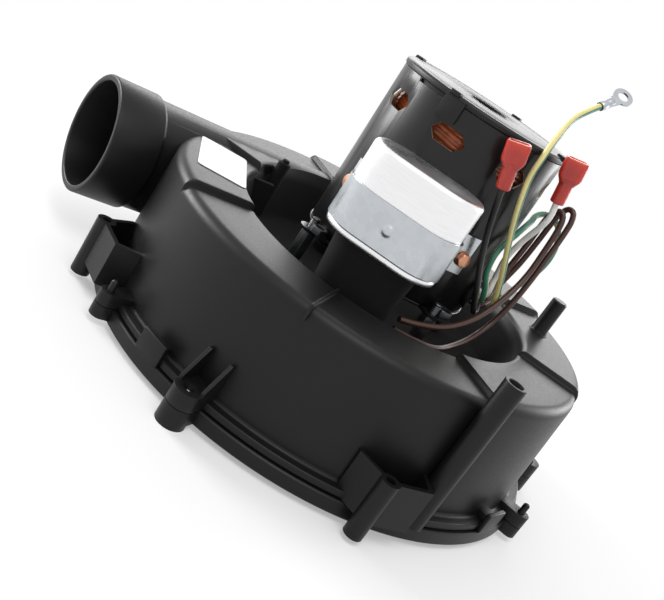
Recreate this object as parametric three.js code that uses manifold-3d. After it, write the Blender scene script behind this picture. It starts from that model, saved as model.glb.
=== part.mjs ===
// Combustion fan of a gas furnace: a black moulded scroll with a stepped top, a snap-on cover with the
// inlet bell, a moulded wheel, and a motor that stands in the scroll's well with its run capacitor.
// Millimetres, +Z up along the shaft, outlet pipe along -X, the screw ears' feet at Z = 0.
import * as THREE from 'three';
import { mergeVertices } from 'three/addons/utils/BufferGeometryUtils.js';
import Module from 'manifold-3d';

const wasm = await Module();
wasm.setup();

// Shared clearances
const seatGap = 0.3;
const runningGap = 0.06;
const overrun = 1;

// Levels of the parting between housing and cover
const rimBottomLevel = 2.4;
const partingLevel = 9.4;

// Scroll housing
const wheelChannelWidth = 45.8;
const draftDegrees = 1;
const housingWall = 2.8;
const scrollTopFillet = 5;
const wellRimFillet = 2.4;
const wellTaper = 5;
const wellClearance = 2.5;
const wellFloorLevel = 46;
const frontTopLevel = 67.8;
const sectorRise = 2.63;
const sectorStartDegrees = 178;
const sectors = [
  { from: 0, to: 90, steps: 0 },
  { from: 90, to: 135, steps: 1 },
  { from: 135, to: 180, steps: 2 },
  { from: 180, to: 270, steps: 3 },
  { from: 270, to: 315, steps: 2 },
  { from: 315, to: 360, steps: 1 },
];
const flangeProud = 5.1;
const flangeThickness = 3.2;
const flangeFillet = 0.8;
const shaftHoleRadius = 9.5;
const shaftHoleCollarWall = 3.5;
const shaftHoleCollarHeight = 3;
const topRibDegrees = 223;
const topRibThickness = 1.6;
const topRibHeight = 1.6;
const topRibDrop = 6;
const topRibReach = 1;

// Outlet pipe
const pipeProud = 15;
const pipeCollarRadius = 29.1;
const pipeCollarLength = 23;
const pipeOverlap = 4;
const pipeNeckRadius = 27.5;
const pipeBoreRadius = 25.9;
const pipeMouthRound = 1;
const tongueThickness = 3;
const tongueClearance = 7;

// Pressure tap tube and pegs of the housing
const tapTubeRadius = 5;
const tapTubeBoreRadius = 3.25;
const tapTubeBoreDepth = 30;
const tapTubeDegrees = 265.6;
const tapTubeStandOff = 4;
const tapTubeTopLevel = 82.1;
const pegRadius = 4.05;
const pegInset = 17.8;
const pegDegrees = 344;
const pegTopLevel = 92.6;
const pegRootRadius = 5.4;
const pegRootHeight = 2.2;
const wellPegRadius = 3.3;
const wellPegStubRadius = 1.8;
const wellPegStandOff = 2.4;
const wellPegDegrees = 121;
const wellPegShoulderLevel = 76.3;
const wellPegTopLevel = 78;

// Mounting legs: a hollow wing with a short and a long side that meet in a post
const legDegrees = [252.4, 167, 72.4, 347];
const legStandOff = 13.4;
const legPostRadius = 4.35;
const legPostHoleRadius = 2.1;
const legTopLevel = 30;
const legShortSide = 11.2;
const legLongSide = 21.1;
const legLongSideStandOff = 9.9;
const legTipProud = 2.2;
const legWingWall = 2.2;
const legPocketDepth = 14;

// Screw ears with gussets, and small ears with locating pins
const screwEarDegrees = [213.4, 333.4, 93.4];
const screwEarStandOff = 11.7;
const screwEarRadius = 6.5;
const screwEarTopLevel = 16.6;
const screwHoleRadius = 2;
const gussetThickness = 1.6;
const gussetTopLevel = 30;
const pinEarDegrees = [183.4, 303.4, 48];
const pinEarStandOff = 9.9;
const pinEarRadius = 4.2;
const pinEarTopLevel = 15.4;
const pinEarBottomLevel = 3.2;
const pinRadius = 1.6;
const pinTopLevel = 20.6;

// Latch arms of the cover
const latchDegrees = [200.1, 290.1, 20.1, 110.1];
const latchWidth = 15;
const latchThickness = 2;
const latchTopLevel = 19.6;
const latchWindowWidth = 9;
const latchWindowBottomLevel = 11.4;
const latchWindowTopLevel = 16.4;

// Cover and inlet
const coverRimProud = 1.8;
const coverRimWall = 3;
const coverPlateThickness = 2.8;
const coverPlateLevel = 5;
const coverRingWall = 2;
const coverRingHeight = 4.6;
const inletLipHeight = 4.6;
const inletFlareWidth = 13;
const inletLipLevel = 17;
const inletLipWall = 2.2;
const inletSeatGap = 3;
const inletSeatWidth = 11;
const coverRibCount = 10;
const coverRibThickness = 1.6;
const gasketThickness = 1.9;

// Wheel
const wheelRadius = 62;
const wheelRingWidth = 25;
const wheelEyeGap = 1.8;
const wheelShroudThickness = 1.6;
const wheelShroudEyeLevel = 12.6;
const wheelShroudTipLevel = 20;
const wheelEyeLipHeight = 3;
const wheelPlateThickness = 2.2;
const wheelPlateTopLevel = 40.4;
const wheelCoreWall = 5.2;
const wheelCoreBottomLevel = 24;
const bladeCount = 12;
const bladeThickness = 1.6;
const bladeSetBack = 2;
const bladeSweepDegrees = 34;
const hubRadius = 8;
const hubBelowCore = 6;
const hubProud = 1.6;
const setScrewRadius = 2;
const setScrewRise = 2.8;
const setScrewProud = 1;
const wheelRootRound = 4.4;
const bladeCurvePower = 0.8;
const clipRadius = 6.5;
const clipThickness = 1;

// Shaft and bearings
const shaftRadius = 3.97;
const shaftBottomLevel = 14.4;
const shaftTopLevel = 150.4;
const shaftChamfer = 1;
const bearingHeight = 7.6;
const bearingRoundness = 1.6;

// Motor
const motorTopLevel = 155;
const motorBottomLevel = 69.6;
const canRadius = 41.9;
const canWall = 1;
const capProud = 0.6;
const capHeight = 3;
const capSheet = 1.2;
const capRound = 1.2;
const capSpigotDepth = 3.3;
const capSpigotWall = 1.6;
const capHoleRadius = 9.5;
const cupDepth = 14.6;
const cupLipRadius = 5.5;
const windowCount = 8;
const windowFirstDegrees = 174.6;
const windowLevel = 138.5;
const windowHalfWidth = 8.5;
const windowHalfHeight = 4;
const windowFlatShare = 0.6;
const windowCutDepth = 6;
const slotDegrees = 194;
const slotWidth = 16;
const slotDepth = 1.6;
const tabDegrees = 212.2;
const tabWidth = 10;
const tabDrop = 10.4;
const tabThickness = 0.8;
const crimpFirstDegrees = 29.7;
const crimpCount = 4;
const crimpWidth = 5;
const crimpLength = 3.6;
const crimpHeight = 1;
const statorHeight = 35;
const statorLevel = 93;
const statorDepth = 19.6;
const rotorAirGap = 0.5;
const rotorRingHeight = 4;
const rotorRingInset = 1;
const windingInset = 4.4;
const windingStandOff = 2;
const windingHeight = 17;
const windingLobes = 16;
const windingLobeDepth = 0.8;

// Motor mounting
const lugDegrees = [179.7, 269.7, 359.7, 89.7];
const lugStandOff = 4.7;
const lugRadius = 5.2;
const lugHoleRadius = 2.4;
const studRadius = 2;
const studTopLevel = 76;
const spacerRadius = 3.7;
const nutRadius = 4;
const nutHeight = 3.2;
const grommetRadius = 5.6;
const grommetHeight = 4.4;
const floorBossRadius = 6.4;
const floorBossHeight = 4;
const floorBossHoleDepth = 4.6;
const studEndGap = 0.5;

// Run capacitor, boot and strap
const capacitorDegrees = 225.4;
const capacitorStandOff = 2.85;
const capacitorLength = 52;
const capacitorThickness = 30.5;
const capacitorTopLevel = 126;
const capacitorBottomLevel = 87.1;
const capacitorEdgeRound = 1.6;
const beadProud = 1;
const beadHeight = 3;
const lidInset = 1.9;
const lidThickness = 1.8;
const bladeTerminalWidth = 6.3;
const bladeTerminalThickness = 0.8;
const bladeTerminalLength = 8;
const bladeTerminalSpacing = 20;
const bootTopWidth = 40;
const bootBottomWidth = 35;
const bootDepth = 21;
const bootSetBack = 3;
const bootBottomLevel = 56;
const bootWall = 1.6;
const strapThickness = 0.8;
const strapBottomLevel = 90.4;
const strapTopLevel = 108.7;
const strapEarEndDegrees = 48;
const strapEarStartDegrees = 36;
const strapScrewDegrees = 43;
const strapNeckDegrees = 20;
const strapEndSteps = 8;
const strapScrewLevel = 97.7;
const strapScrewRadius = 1.6;
const strapScrewHeadRadius = 3.4;
const strapScrewHeadHeight = 2.4;

// Label
const labelLength = 45;
const labelThickness = 0.3;
const labelGap = 0.1;
const labelMargin = 0.96;
const labelLap = 0.3;
const labelDegrees = 152;
const labelTurnDegrees = 6;
const labelCorner = 2;

// Cover screws, driven from below
const coverScrewRadius = 1.7;
const coverScrewHeadRadius = 3.9;
const coverScrewHeadHeight = 2.8;
const coverScrewSeatLevel = 3.4;
const coverScrewTipDepth = 1;

// Leads, their bushing in the can and their terminals
const bushingDegrees = 305;
const bushingLevel = 82;
const bushingNeckRadius = 6;
const bushingFlangeRadius = 7.4;
const bushingFlangeThickness = 1.6;
const leadRadius = 1.4;
const leadBundleRadius = 3.1;
const leadStraight = 4;
const leadStepDiameters = 3;
const flagWidth = 13;
const flagThickness = 6.4;
const flagHeight = 12;
const flagRound = 1.2;
const flagBarrelRadius = 3.4;
const flagBarrelLength = 12;
const ringTerminalRadius = 4.7;
const ringTerminalHoleRadius = 2.6;
const ringTerminalThickness = 0.9;
const ringTerminalTongueWidth = 4.4;
const ringTerminalBarrelRadius = 2.1;
const ringTerminalBarrelLength = 8;
const ringTerminalReach = 15.5;
const terminalFaceDegrees = 322;

// Facets
const wideFacets = 40;
const shellFacets = 32;
const shaftFacets = 24;
const smallFacets = 16;
const pegFacets = 10;
const hexFacets = 6;
const flatTolerance = 0.02;

// Worked out from the sizes above
const draft = Math.tan(THREE.MathUtils.degToRad(draftDegrees));
const scrollRadius = wheelRadius + wheelChannelWidth + housingWall;
const canInnerRadius = canRadius - canWall;
const capacitorPlaceRadius = canRadius + capacitorStandOff + capacitorThickness / 2;
const bootPlaceRadius = capacitorPlaceRadius - bootSetBack;
const wellFloorRadius = bootPlaceRadius + bootDepth / 2 + wellClearance;
const wellTopRadius = wellFloorRadius + wellTaper;
const pipeReach = scrollRadius + pipeProud;
const flangeRadius = scrollRadius + flangeProud;
const coverRimRadius = flangeRadius + coverRimProud;
const legPlaceRadius = scrollRadius + legStandOff;
const screwEarPlaceRadius = scrollRadius + screwEarStandOff;
const pinEarPlaceRadius = scrollRadius + pinEarStandOff;
const pegPlaceRadius = scrollRadius - pegInset;
const wellPegPlaceRadius = wellFloorRadius + wellPegStandOff;
const lugPlaceRadius = canRadius + lugStandOff;
const shaftHoleCollarRadius = shaftHoleRadius + shaftHoleCollarWall;
const statorBoreRadius = canInnerRadius - seatGap - statorDepth;
const rotorRadius = statorBoreRadius - rotorAirGap;
const windingOuterRadius = canInnerRadius - windingInset;
const windingInnerRadius = statorBoreRadius + windingStandOff;
const bearingRadius = capHoleRadius - seatGap;
const wheelEyeRadius = wheelRadius - wheelRingWidth;
const bladeInnerRadius = wheelEyeRadius + bladeSetBack;
const inletThroatRadius = wheelEyeRadius - wheelEyeGap - inletLipWall;
const inletFlareRadius = inletThroatRadius + inletFlareWidth;
const inletSeatInnerRadius = inletFlareRadius + inletSeatGap;
const inletSeatOuterRadius = inletSeatInnerRadius + inletSeatWidth;
const wheelCoreRadius = hubRadius + seatGap + wheelCoreWall;
const hubBottomLevel = wheelCoreBottomLevel - hubBelowCore;
const hubTopLevel = wheelPlateTopLevel + hubProud;
const setScrewLevel = hubBottomLevel + setScrewRise;
const topLevelOf = (steps) => frontTopLevel + steps * sectorRise;
const highestSteps = Math.max(...sectors.map((sector) => sector.steps));
const highestLevel = topLevelOf(highestSteps);
const scrollRadiusAt = (level) => scrollRadius - (level - partingLevel) * draft;
const labelOuterReach = Math.sqrt(
  (scrollRadiusAt(topLevelOf(1)) - scrollTopFillet - labelMargin) ** 2 - (labelLength / 2) ** 2);
const labelInnerReach = wellTopRadius + wellRimFillet - labelLap;
const labelWidth = labelOuterReach - labelInnerReach;
const labelPlaceRadius = (labelOuterReach + labelInnerReach) / 2;
const wellSlope = (wellTopRadius - wellFloorRadius) / (frontTopLevel - wellFloorLevel);
const wellRadiusAt = (level) => wellFloorRadius + (level - wellFloorLevel) * wellSlope;
const pipeAxisLevel = highestLevel - pipeCollarRadius;
const pipeAxisY = scrollRadiusAt(pipeAxisLevel) - pipeCollarRadius;
const coverTopLevel = partingLevel - seatGap;
const coverPlateTopLevel = coverPlateLevel + coverPlateThickness;
const floorUnderLevel = wellFloorLevel - housingWall;
const canTopLevel = motorTopLevel - capHeight - seatGap;
const basePlateTopLevel = motorBottomLevel + capSheet;
const canBottomLevel = basePlateTopLevel + seatGap;
const statorTopLevel = statorLevel + statorHeight;
const coverRingRadius = scrollRadius - housingWall - seatGap;
const coverRingTopLevel = coverPlateTopLevel + coverRingHeight;

// Shape helpers
const point = (radius, degrees) => {
  const angle = THREE.MathUtils.degToRad(degrees);
  return new THREE.Vector2(radius * Math.cos(angle), radius * Math.sin(angle));
};

function plainGeometry(source) {
  const geometry = source.index ? source.toNonIndexed() : source.clone();
  geometry.deleteAttribute('normal');
  geometry.deleteAttribute('uv');
  return geometry;
}

function toSolid(source) {
  const merged = mergeVertices(plainGeometry(source), 1e-4);
  const places = merged.getAttribute('position').array;
  const kept = [];
  const index = merged.index.array;
  let volume = 0;
  const corner = (n) => new THREE.Vector3().fromArray(places, 3 * n);
  for (let i = 0; i < index.length; i += 3) {
    const [a, b, c] = [index[i], index[i + 1], index[i + 2]];
    if (a === b || b === c || c === a) continue;
    kept.push([a, b, c]);
    volume += corner(a).dot(corner(b).cross(corner(c)));
  }
  const facing = volume < 0 ? kept.map(([a, b, c]) => [a, c, b]) : kept;
  return new wasm.Manifold(new wasm.Mesh({
    numProp: 3,
    vertProperties: Float32Array.from(places),
    triVerts: Uint32Array.from(facing.flat()),
  }));
}

const join = (...solids) => solids.flat().reduce((whole, solid) => whole.add(solid));
const cut = (body, ...tools) => tools.flat().reduce((rest, tool) => rest.subtract(tool), body);

function toGeometry(solid) {
  const mesh = solid.getMesh();
  const geometry = new THREE.BufferGeometry();
  geometry.setAttribute('position', new THREE.BufferAttribute(Float32Array.from(mesh.vertProperties), 3));
  geometry.setIndex(new THREE.BufferAttribute(Uint32Array.from(mesh.triVerts), 1));
  geometry.computeVertexNormals();
  return geometry;
}

// Turns a closed outline of [radius, level] pairs about the shaft axis
function turned(outline, facets = wideFacets) {
  const profile = outline.map(([radius, level]) => new THREE.Vector2(radius, level));
  const onAxis = outline[0][0] === 0 && outline[outline.length - 1][0] === 0;
  if (!onAxis) profile.push(profile[0].clone());
  const start = THREE.MathUtils.degToRad(sectorStartDegrees);
  const geometry = new THREE.LatheGeometry(profile, facets);
  geometry.rotateX(Math.PI / 2);
  geometry.rotateZ(start + Math.PI / 2);
  return toSolid(geometry);
}

// Raises a flat outline from one level to another
function raised(shape, bottom, top, curveSegments = 8) {
  const geometry = new THREE.ExtrudeGeometry(shape, { depth: top - bottom, bevelEnabled: false, curveSegments });
  geometry.translate(0, 0, bottom);
  return geometry;
}

function pillar(radius, bottom, top, place = new THREE.Vector2(), facets = smallFacets) {
  const geometry = new THREE.CylinderGeometry(radius, radius, top - bottom, facets);
  geometry.rotateX(Math.PI / 2);
  geometry.translate(place.x, place.y, (top + bottom) / 2);
  return toSolid(geometry);
}

// A block that reaches outwards from the shaft axis at an angle
function spoke(degrees, innerRadius, outerRadius, width, bottom, top, sideways = 0) {
  const geometry = new THREE.BoxGeometry(outerRadius - innerRadius, width, top - bottom);
  geometry.translate((innerRadius + outerRadius) / 2, sideways, (bottom + top) / 2);
  geometry.rotateZ(THREE.MathUtils.degToRad(degrees));
  return toSolid(geometry);
}

// A cylinder that lies along the outward direction at an angle
function radialPin(degrees, innerRadius, outerRadius, radius, level, facets = pegFacets) {
  const geometry = new THREE.CylinderGeometry(radius, radius, outerRadius - innerRadius, facets);
  geometry.rotateZ(Math.PI / 2);
  geometry.translate((innerRadius + outerRadius) / 2, 0, level);
  geometry.rotateZ(THREE.MathUtils.degToRad(degrees));
  return toSolid(geometry);
}

function pieSlice(fromDegrees, toDegrees, radius, bottom, top) {
  const shape = new THREE.Shape();
  const reach = radius / Math.cos(THREE.MathUtils.degToRad((toDegrees - fromDegrees) / 4));
  shape.moveTo(0, 0);
  for (const share of [0, 0.5, 1]) {
    const corner = point(reach, fromDegrees + share * (toDegrees - fromDegrees));
    shape.lineTo(corner.x, corner.y);
  }
  return toSolid(raised(shape, bottom, top));
}

// Quarter-round points between two directions, for fillets in turned outlines
function fillet(centreRadius, centreLevel, radius, fromDegrees, toDegrees, steps = 3) {
  return Array.from({ length: steps + 1 }, (_, i) => {
    const corner = point(radius, fromDegrees + (i / steps) * (toDegrees - fromDegrees));
    return [centreRadius + corner.x, centreLevel + corner.y];
  });
}

const pieces = [];
function piece(name, solid, material) {
  const geometry = toGeometry(solid.asOriginal().simplify(flatTolerance));
  const mesh = new THREE.Mesh(geometry, material);
  mesh.name = name;
  pieces.push(mesh);
  return mesh;
}

const finish = (color, roughness, metalness = 0) => new THREE.MeshStandardMaterial({ color, roughness, metalness });
const mouldedBlack = finish(0x1b1b1c, 0.55);
const paintedSteel = finish(0x161616, 0.4, 0.3);
const zincSteel = finish(0xb4bac0, 0.35, 0.9);
const darkSteel = finish(0x55585c, 0.4, 0.9);
const aluminium = finish(0xe2e3e4, 0.35, 0.7);
const bronze = finish(0x9a6236, 0.5, 0.8);
const copperPlate = finish(0xb8683f, 0.35, 0.9);
const copperWire = finish(0x9c4a24, 0.45, 0.6);
const blackRubber = finish(0x111111, 0.8);
const wheelPlastic = finish(0x2a2a2c, 0.5);
const paper = finish(0xeeeeec, 0.6);
const foam = finish(0x4a4a4c, 0.95);

// Upper housing: the stepped scroll, its well, the outlet pipe and everything moulded on it
const sliceRadius = 2 * scrollRadius;
const sliceLapDegrees = 0.1;

function sectorBody(level) {
  const filletRadius = scrollRadiusAt(level) - scrollTopFillet;
  return turned([
    [0, partingLevel],
    [scrollRadius, partingLevel],
    ...fillet(filletRadius, level - scrollTopFillet, scrollTopFillet, 0, 90),
    ...fillet(wellRadiusAt(level) + wellRimFillet, level - wellRimFillet, wellRimFillet, 90, 180, 2),
    [wellFloorRadius, wellFloorLevel],
    [0, wellFloorLevel],
  ]);
}

function sectorHollow(level) {
  const filletRadius = scrollRadiusAt(level) - scrollTopFillet;
  return turned([
    [0, partingLevel - overrun],
    [scrollRadius - housingWall, partingLevel - overrun],
    ...fillet(filletRadius, level - scrollTopFillet, scrollTopFillet - housingWall, 0, 90, 2),
    [wellRadiusAt(level) + housingWall, level - housingWall],
    [wellFloorRadius + housingWall, floorUnderLevel],
    [0, floorUnderLevel],
  ]);
}

function sectorSlice(sector, fromShift, toShift) {
  const from = sectorStartDegrees + sector.from - fromShift;
  const to = sectorStartDegrees + sector.to + toShift;
  return pieSlice(from, to, sliceRadius, -overrun, highestLevel + overrun);
}

function steppedBody() {
  return join(sectors.map((sector) => sectorBody(topLevelOf(sector.steps))
    .intersect(sectorSlice(sector, sliceLapDegrees, sliceLapDegrees))));
}

// The hollow's own steps stand back by a wall, so the risers keep their thickness
function steppedHollow() {
  const setBack = THREE.MathUtils.radToDeg(Math.atan(housingWall / wellTopRadius));
  return join(sectors.map((sector, i) => {
    const before = sectors[(i + sectors.length - 1) % sectors.length].steps;
    const after = sectors[(i + 1) % sectors.length].steps;
    const fromShift = before > sector.steps ? setBack : sliceLapDegrees - setBack;
    const toShift = after > sector.steps ? setBack : sliceLapDegrees - setBack;
    return sectorHollow(topLevelOf(sector.steps)).intersect(sectorSlice(sector, fromShift, toShift));
  }));
}

function wellSpace(wallShift) {
  const top = pipeAxisLevel + pipeCollarRadius + overrun;
  const floor = wellFloorLevel - wallShift;
  return turned([
    [0, floor],
    [wellFloorRadius + wallShift, floor],
    [wellRadiusAt(top) + wallShift, top],
    [0, top],
  ]);
}

// Turns an outline of [radius, reach] pairs about the outlet's axis, reach counted towards -X
function outletTurned(outline, facets = shellFacets) {
  const geometry = new THREE.LatheGeometry(outline.map(([radius, reach]) => new THREE.Vector2(radius, reach)), facets);
  geometry.rotateZ(Math.PI / 2);
  geometry.translate(0, pipeAxisY, pipeAxisLevel);
  return toSolid(geometry);
}

const pipeRootReach = -pipeOverlap;
const collarStart = pipeReach - pipeCollarLength;
function outletPipe() {
  const step = pipeCollarRadius - pipeNeckRadius;
  return outletTurned([
    [0, pipeRootReach],
    [pipeNeckRadius, pipeRootReach],
    [pipeNeckRadius, collarStart - step],
    [pipeCollarRadius, collarStart],
    [pipeCollarRadius, pipeReach - pipeMouthRound],
    [pipeCollarRadius - pipeMouthRound, pipeReach],
    [0, pipeReach],
  ]);
}

function outletBore() {
  return outletTurned([
    [0, pipeRootReach],
    [pipeBoreRadius, pipeRootReach],
    [pipeBoreRadius, pipeReach + overrun],
    [0, pipeReach + overrun],
  ]);
}

// The tongue carries the pipe's inner wall on to just short of the wheel
function scrollTongue() {
  const wallY = pipeAxisY - pipeBoreRadius;
  const tipX = -Math.sqrt((wheelRadius + tongueClearance) ** 2 - wallY ** 2);
  const rootX = -Math.sqrt(scrollRadius ** 2 - wallY ** 2);
  const height = highestLevel - partingLevel;
  const web = new THREE.BoxGeometry(tipX - rootX, tongueThickness, height);
  web.translate((tipX + rootX) / 2, wallY - tongueThickness / 2, partingLevel + height / 2);
  const tip = pillar(tongueThickness / 2, partingLevel, highestLevel,
    new THREE.Vector2(tipX, wallY - tongueThickness / 2), pegFacets);
  const ringSpace = turned([
    [coverRingRadius - coverRingWall - seatGap, partingLevel - overrun],
    [scrollRadius, partingLevel - overrun],
    [scrollRadius, coverRingTopLevel + seatGap],
    [coverRingRadius - coverRingWall - seatGap, coverRingTopLevel + seatGap],
  ]);
  return cut(join(toSolid(web), tip), ringSpace);
}

function cone(bottomRadius, topRadius, bottom, top, place) {
  const geometry = new THREE.CylinderGeometry(topRadius, bottomRadius, top - bottom, pegFacets);
  geometry.rotateX(Math.PI / 2);
  geometry.translate(place.x, place.y, (top + bottom) / 2);
  return toSolid(geometry);
}

// A flat web standing on the outward direction, given by [radius, level] corners
function fin(degrees, corners, thickness, sideways) {
  const shape = new THREE.Shape(corners.map(([radius, level]) => new THREE.Vector2(radius, level)));
  const geometry = new THREE.ExtrudeGeometry(shape, { depth: thickness, bevelEnabled: false });
  geometry.translate(0, 0, -thickness / 2);
  geometry.rotateX(Math.PI / 2);
  geometry.translate(0, sideways, 0);
  geometry.rotateZ(THREE.MathUtils.degToRad(degrees));
  return toSolid(geometry);
}

function housingFlange() {
  const innerRadius = scrollRadius - housingWall / 2;
  const top = partingLevel + flangeThickness;
  return turned([
    [innerRadius, partingLevel],
    [flangeRadius, partingLevel],
    [flangeRadius, top - flangeFillet],
    [flangeRadius - flangeFillet, top],
    [innerRadius, top],
  ]);
}

// Moves each side of an outline that runs anticlockwise inwards by a wall
function insetOutline(corners, wall) {
  const leftOf = (direction) => new THREE.Vector2(-direction.y, direction.x);
  return corners.map((corner, i) => {
    const arriving = corner.clone().sub(corners[(i + corners.length - 1) % corners.length]).normalize();
    const leaving = corners[(i + 1) % corners.length].clone().sub(corner).normalize();
    const inward = leftOf(arriving).add(leftOf(leaving));
    return corner.clone().addScaledVector(inward, wall / (1 + arriving.dot(leaving)));
  });
}

function mountingLeg(degrees) {
  const rootRadius = scrollRadius - 2 * housingWall;
  const wing = [
    [rootRadius, -legShortSide],
    [scrollRadius + legWingWall / 2, -legShortSide],
    [legPlaceRadius + legTipProud, 0],
    [scrollRadius + legLongSideStandOff, legLongSide],
    [rootRadius, legLongSide],
  ].map(([x, y]) => new THREE.Vector2(x, y));
  const pocket = insetOutline(wing, legWingWall);
  const turn = THREE.MathUtils.degToRad(degrees);
  const place = point(legPlaceRadius, degrees);
  const wingSolid = toSolid(raised(new THREE.Shape(wing), partingLevel, legTopLevel).rotateZ(turn));
  const pocketSolid = toSolid(
    raised(new THREE.Shape(pocket), legTopLevel - legPocketDepth, legTopLevel + overrun).rotateZ(turn));
  const post = pillar(legPostRadius, rimBottomLevel, legTopLevel, place);
  const hole = pillar(legPostHoleRadius, rimBottomLevel - overrun, legTopLevel + overrun, place, pegFacets);
  return cut(join(cut(wingSolid, pocketSolid), post), hole);
}

function screwEar(degrees) {
  const wallRadius = scrollRadius - housingWall / 2;
  const width = 2 * screwEarRadius;
  const boss = pillar(screwEarRadius, partingLevel, screwEarTopLevel, point(screwEarPlaceRadius, degrees));
  const root = spoke(degrees, wallRadius, screwEarPlaceRadius, width, partingLevel, screwEarTopLevel);
  const corners = [
    [wallRadius, partingLevel],
    [screwEarPlaceRadius, partingLevel],
    [screwEarPlaceRadius, screwEarTopLevel + gussetThickness],
    [scrollRadius + gussetThickness, gussetTopLevel],
    [wallRadius, gussetTopLevel],
  ];
  const aside = screwEarRadius - gussetThickness / 2;
  const gussets = [-aside, aside].map((sideways) => fin(degrees, corners, gussetThickness, sideways));
  return join(boss, root, gussets);
}

function pinEar(degrees) {
  const wallRadius = scrollRadius - housingWall / 2;
  const place = point(pinEarPlaceRadius, degrees);
  return join(
    pillar(pinEarRadius, partingLevel, pinEarTopLevel, place, pegFacets),
    spoke(degrees, wallRadius, pinEarPlaceRadius, 2 * pinEarRadius, partingLevel, pinEarTopLevel),
  );
}

function upperHousing() {
  const tapPlace = point(scrollRadius + tapTubeStandOff, tapTubeDegrees);
  const pegPlace = point(pegPlaceRadius, pegDegrees);
  const pegLevel = topLevelOf(2);
  const wellPegPlace = point(wellPegPlaceRadius, wellPegDegrees);
  const rootInWall = housingWall / 2;
  const pipe = cut(outletPipe(), wellSpace(0));
  const body = steppedBody();
  const tongue = scrollTongue().intersect(body);
  const rib = spoke(topRibDegrees, wellTopRadius + wellRimFillet, scrollRadius + topRibReach, topRibThickness,
    frontTopLevel - topRibDrop, frontTopLevel + topRibHeight);
  const moulded = join(
    body,
    pipe,
    housingFlange(),
    rib,
    legDegrees.map(mountingLeg),
    screwEarDegrees.map(screwEar),
    pinEarDegrees.map(pinEar),
    pillar(tapTubeRadius, partingLevel, tapTubeTopLevel, tapPlace),
    pillar(pegRadius, pegLevel - rootInWall, pegTopLevel, pegPlace, pegFacets),
    cone(pegRootRadius, pegRadius, pegLevel - rootInWall, pegLevel + pegRootHeight, pegPlace),
    pillar(wellPegRadius, wellFloorLevel - rootInWall, wellPegShoulderLevel, wellPegPlace, pegFacets),
    pillar(wellPegStubRadius, wellPegShoulderLevel - overrun, wellPegTopLevel, wellPegPlace, pegFacets),
    lugDegrees.map((degrees) => pillar(floorBossRadius, wellFloorLevel - rootInWall,
      wellFloorLevel + floorBossHeight, point(lugPlaceRadius, degrees))),
    pillar(shaftHoleCollarRadius, wellFloorLevel - rootInWall, wellFloorLevel + shaftHoleCollarHeight),
  );
  const bore = cut(outletBore(), wellSpace(housingWall));
  const nibs = latchDegrees.map((degrees) => spoke(degrees, scrollRadius - housingWall / 2,
    flangeRadius + latchThickness, latchWindowWidth - 2 * seatGap,
    latchWindowBottomLevel + seatGap, latchWindowTopLevel - seatGap));
  const bossTop = wellFloorLevel + floorBossHeight;
  return cut(
    join(cut(moulded, steppedHollow(), bore), tongue, nibs),
    pillar(shaftHoleRadius, floorUnderLevel - overrun, wellFloorLevel + shaftHoleCollarHeight + overrun),
    pillar(tapTubeBoreRadius, tapTubeTopLevel - tapTubeBoreDepth, tapTubeTopLevel + overrun, tapPlace),
    lugDegrees.map((degrees) => pillar(lugHoleRadius, bossTop - floorBossHoleDepth, bossTop + overrun,
      point(lugPlaceRadius, degrees), pegFacets)),
    screwEarDegrees.map((degrees) => pillar(screwHoleRadius, partingLevel - overrun, screwEarTopLevel + overrun,
      point(screwEarPlaceRadius, degrees), pegFacets)),
    pinEarDegrees.map((degrees) => pillar(pinRadius + seatGap, partingLevel - overrun, pinEarTopLevel + overrun,
      point(pinEarPlaceRadius, degrees), pegFacets)),
  );
}
piece('upper_housing', upperHousing(), mouldedBlack);

// Cover: a rimmed tray with the inlet bell, latch arms, screw ears and locating pins
function bellCurve(flareRadius, throatRadius, bottom, top, steps = 4) {
  return Array.from({ length: steps + 1 }, (_, i) => {
    const angle = (i / steps) * Math.PI / 2;
    return [flareRadius - (flareRadius - throatRadius) * Math.sin(angle), bottom + (top - bottom) * (1 - Math.cos(angle))];
  });
}

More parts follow.
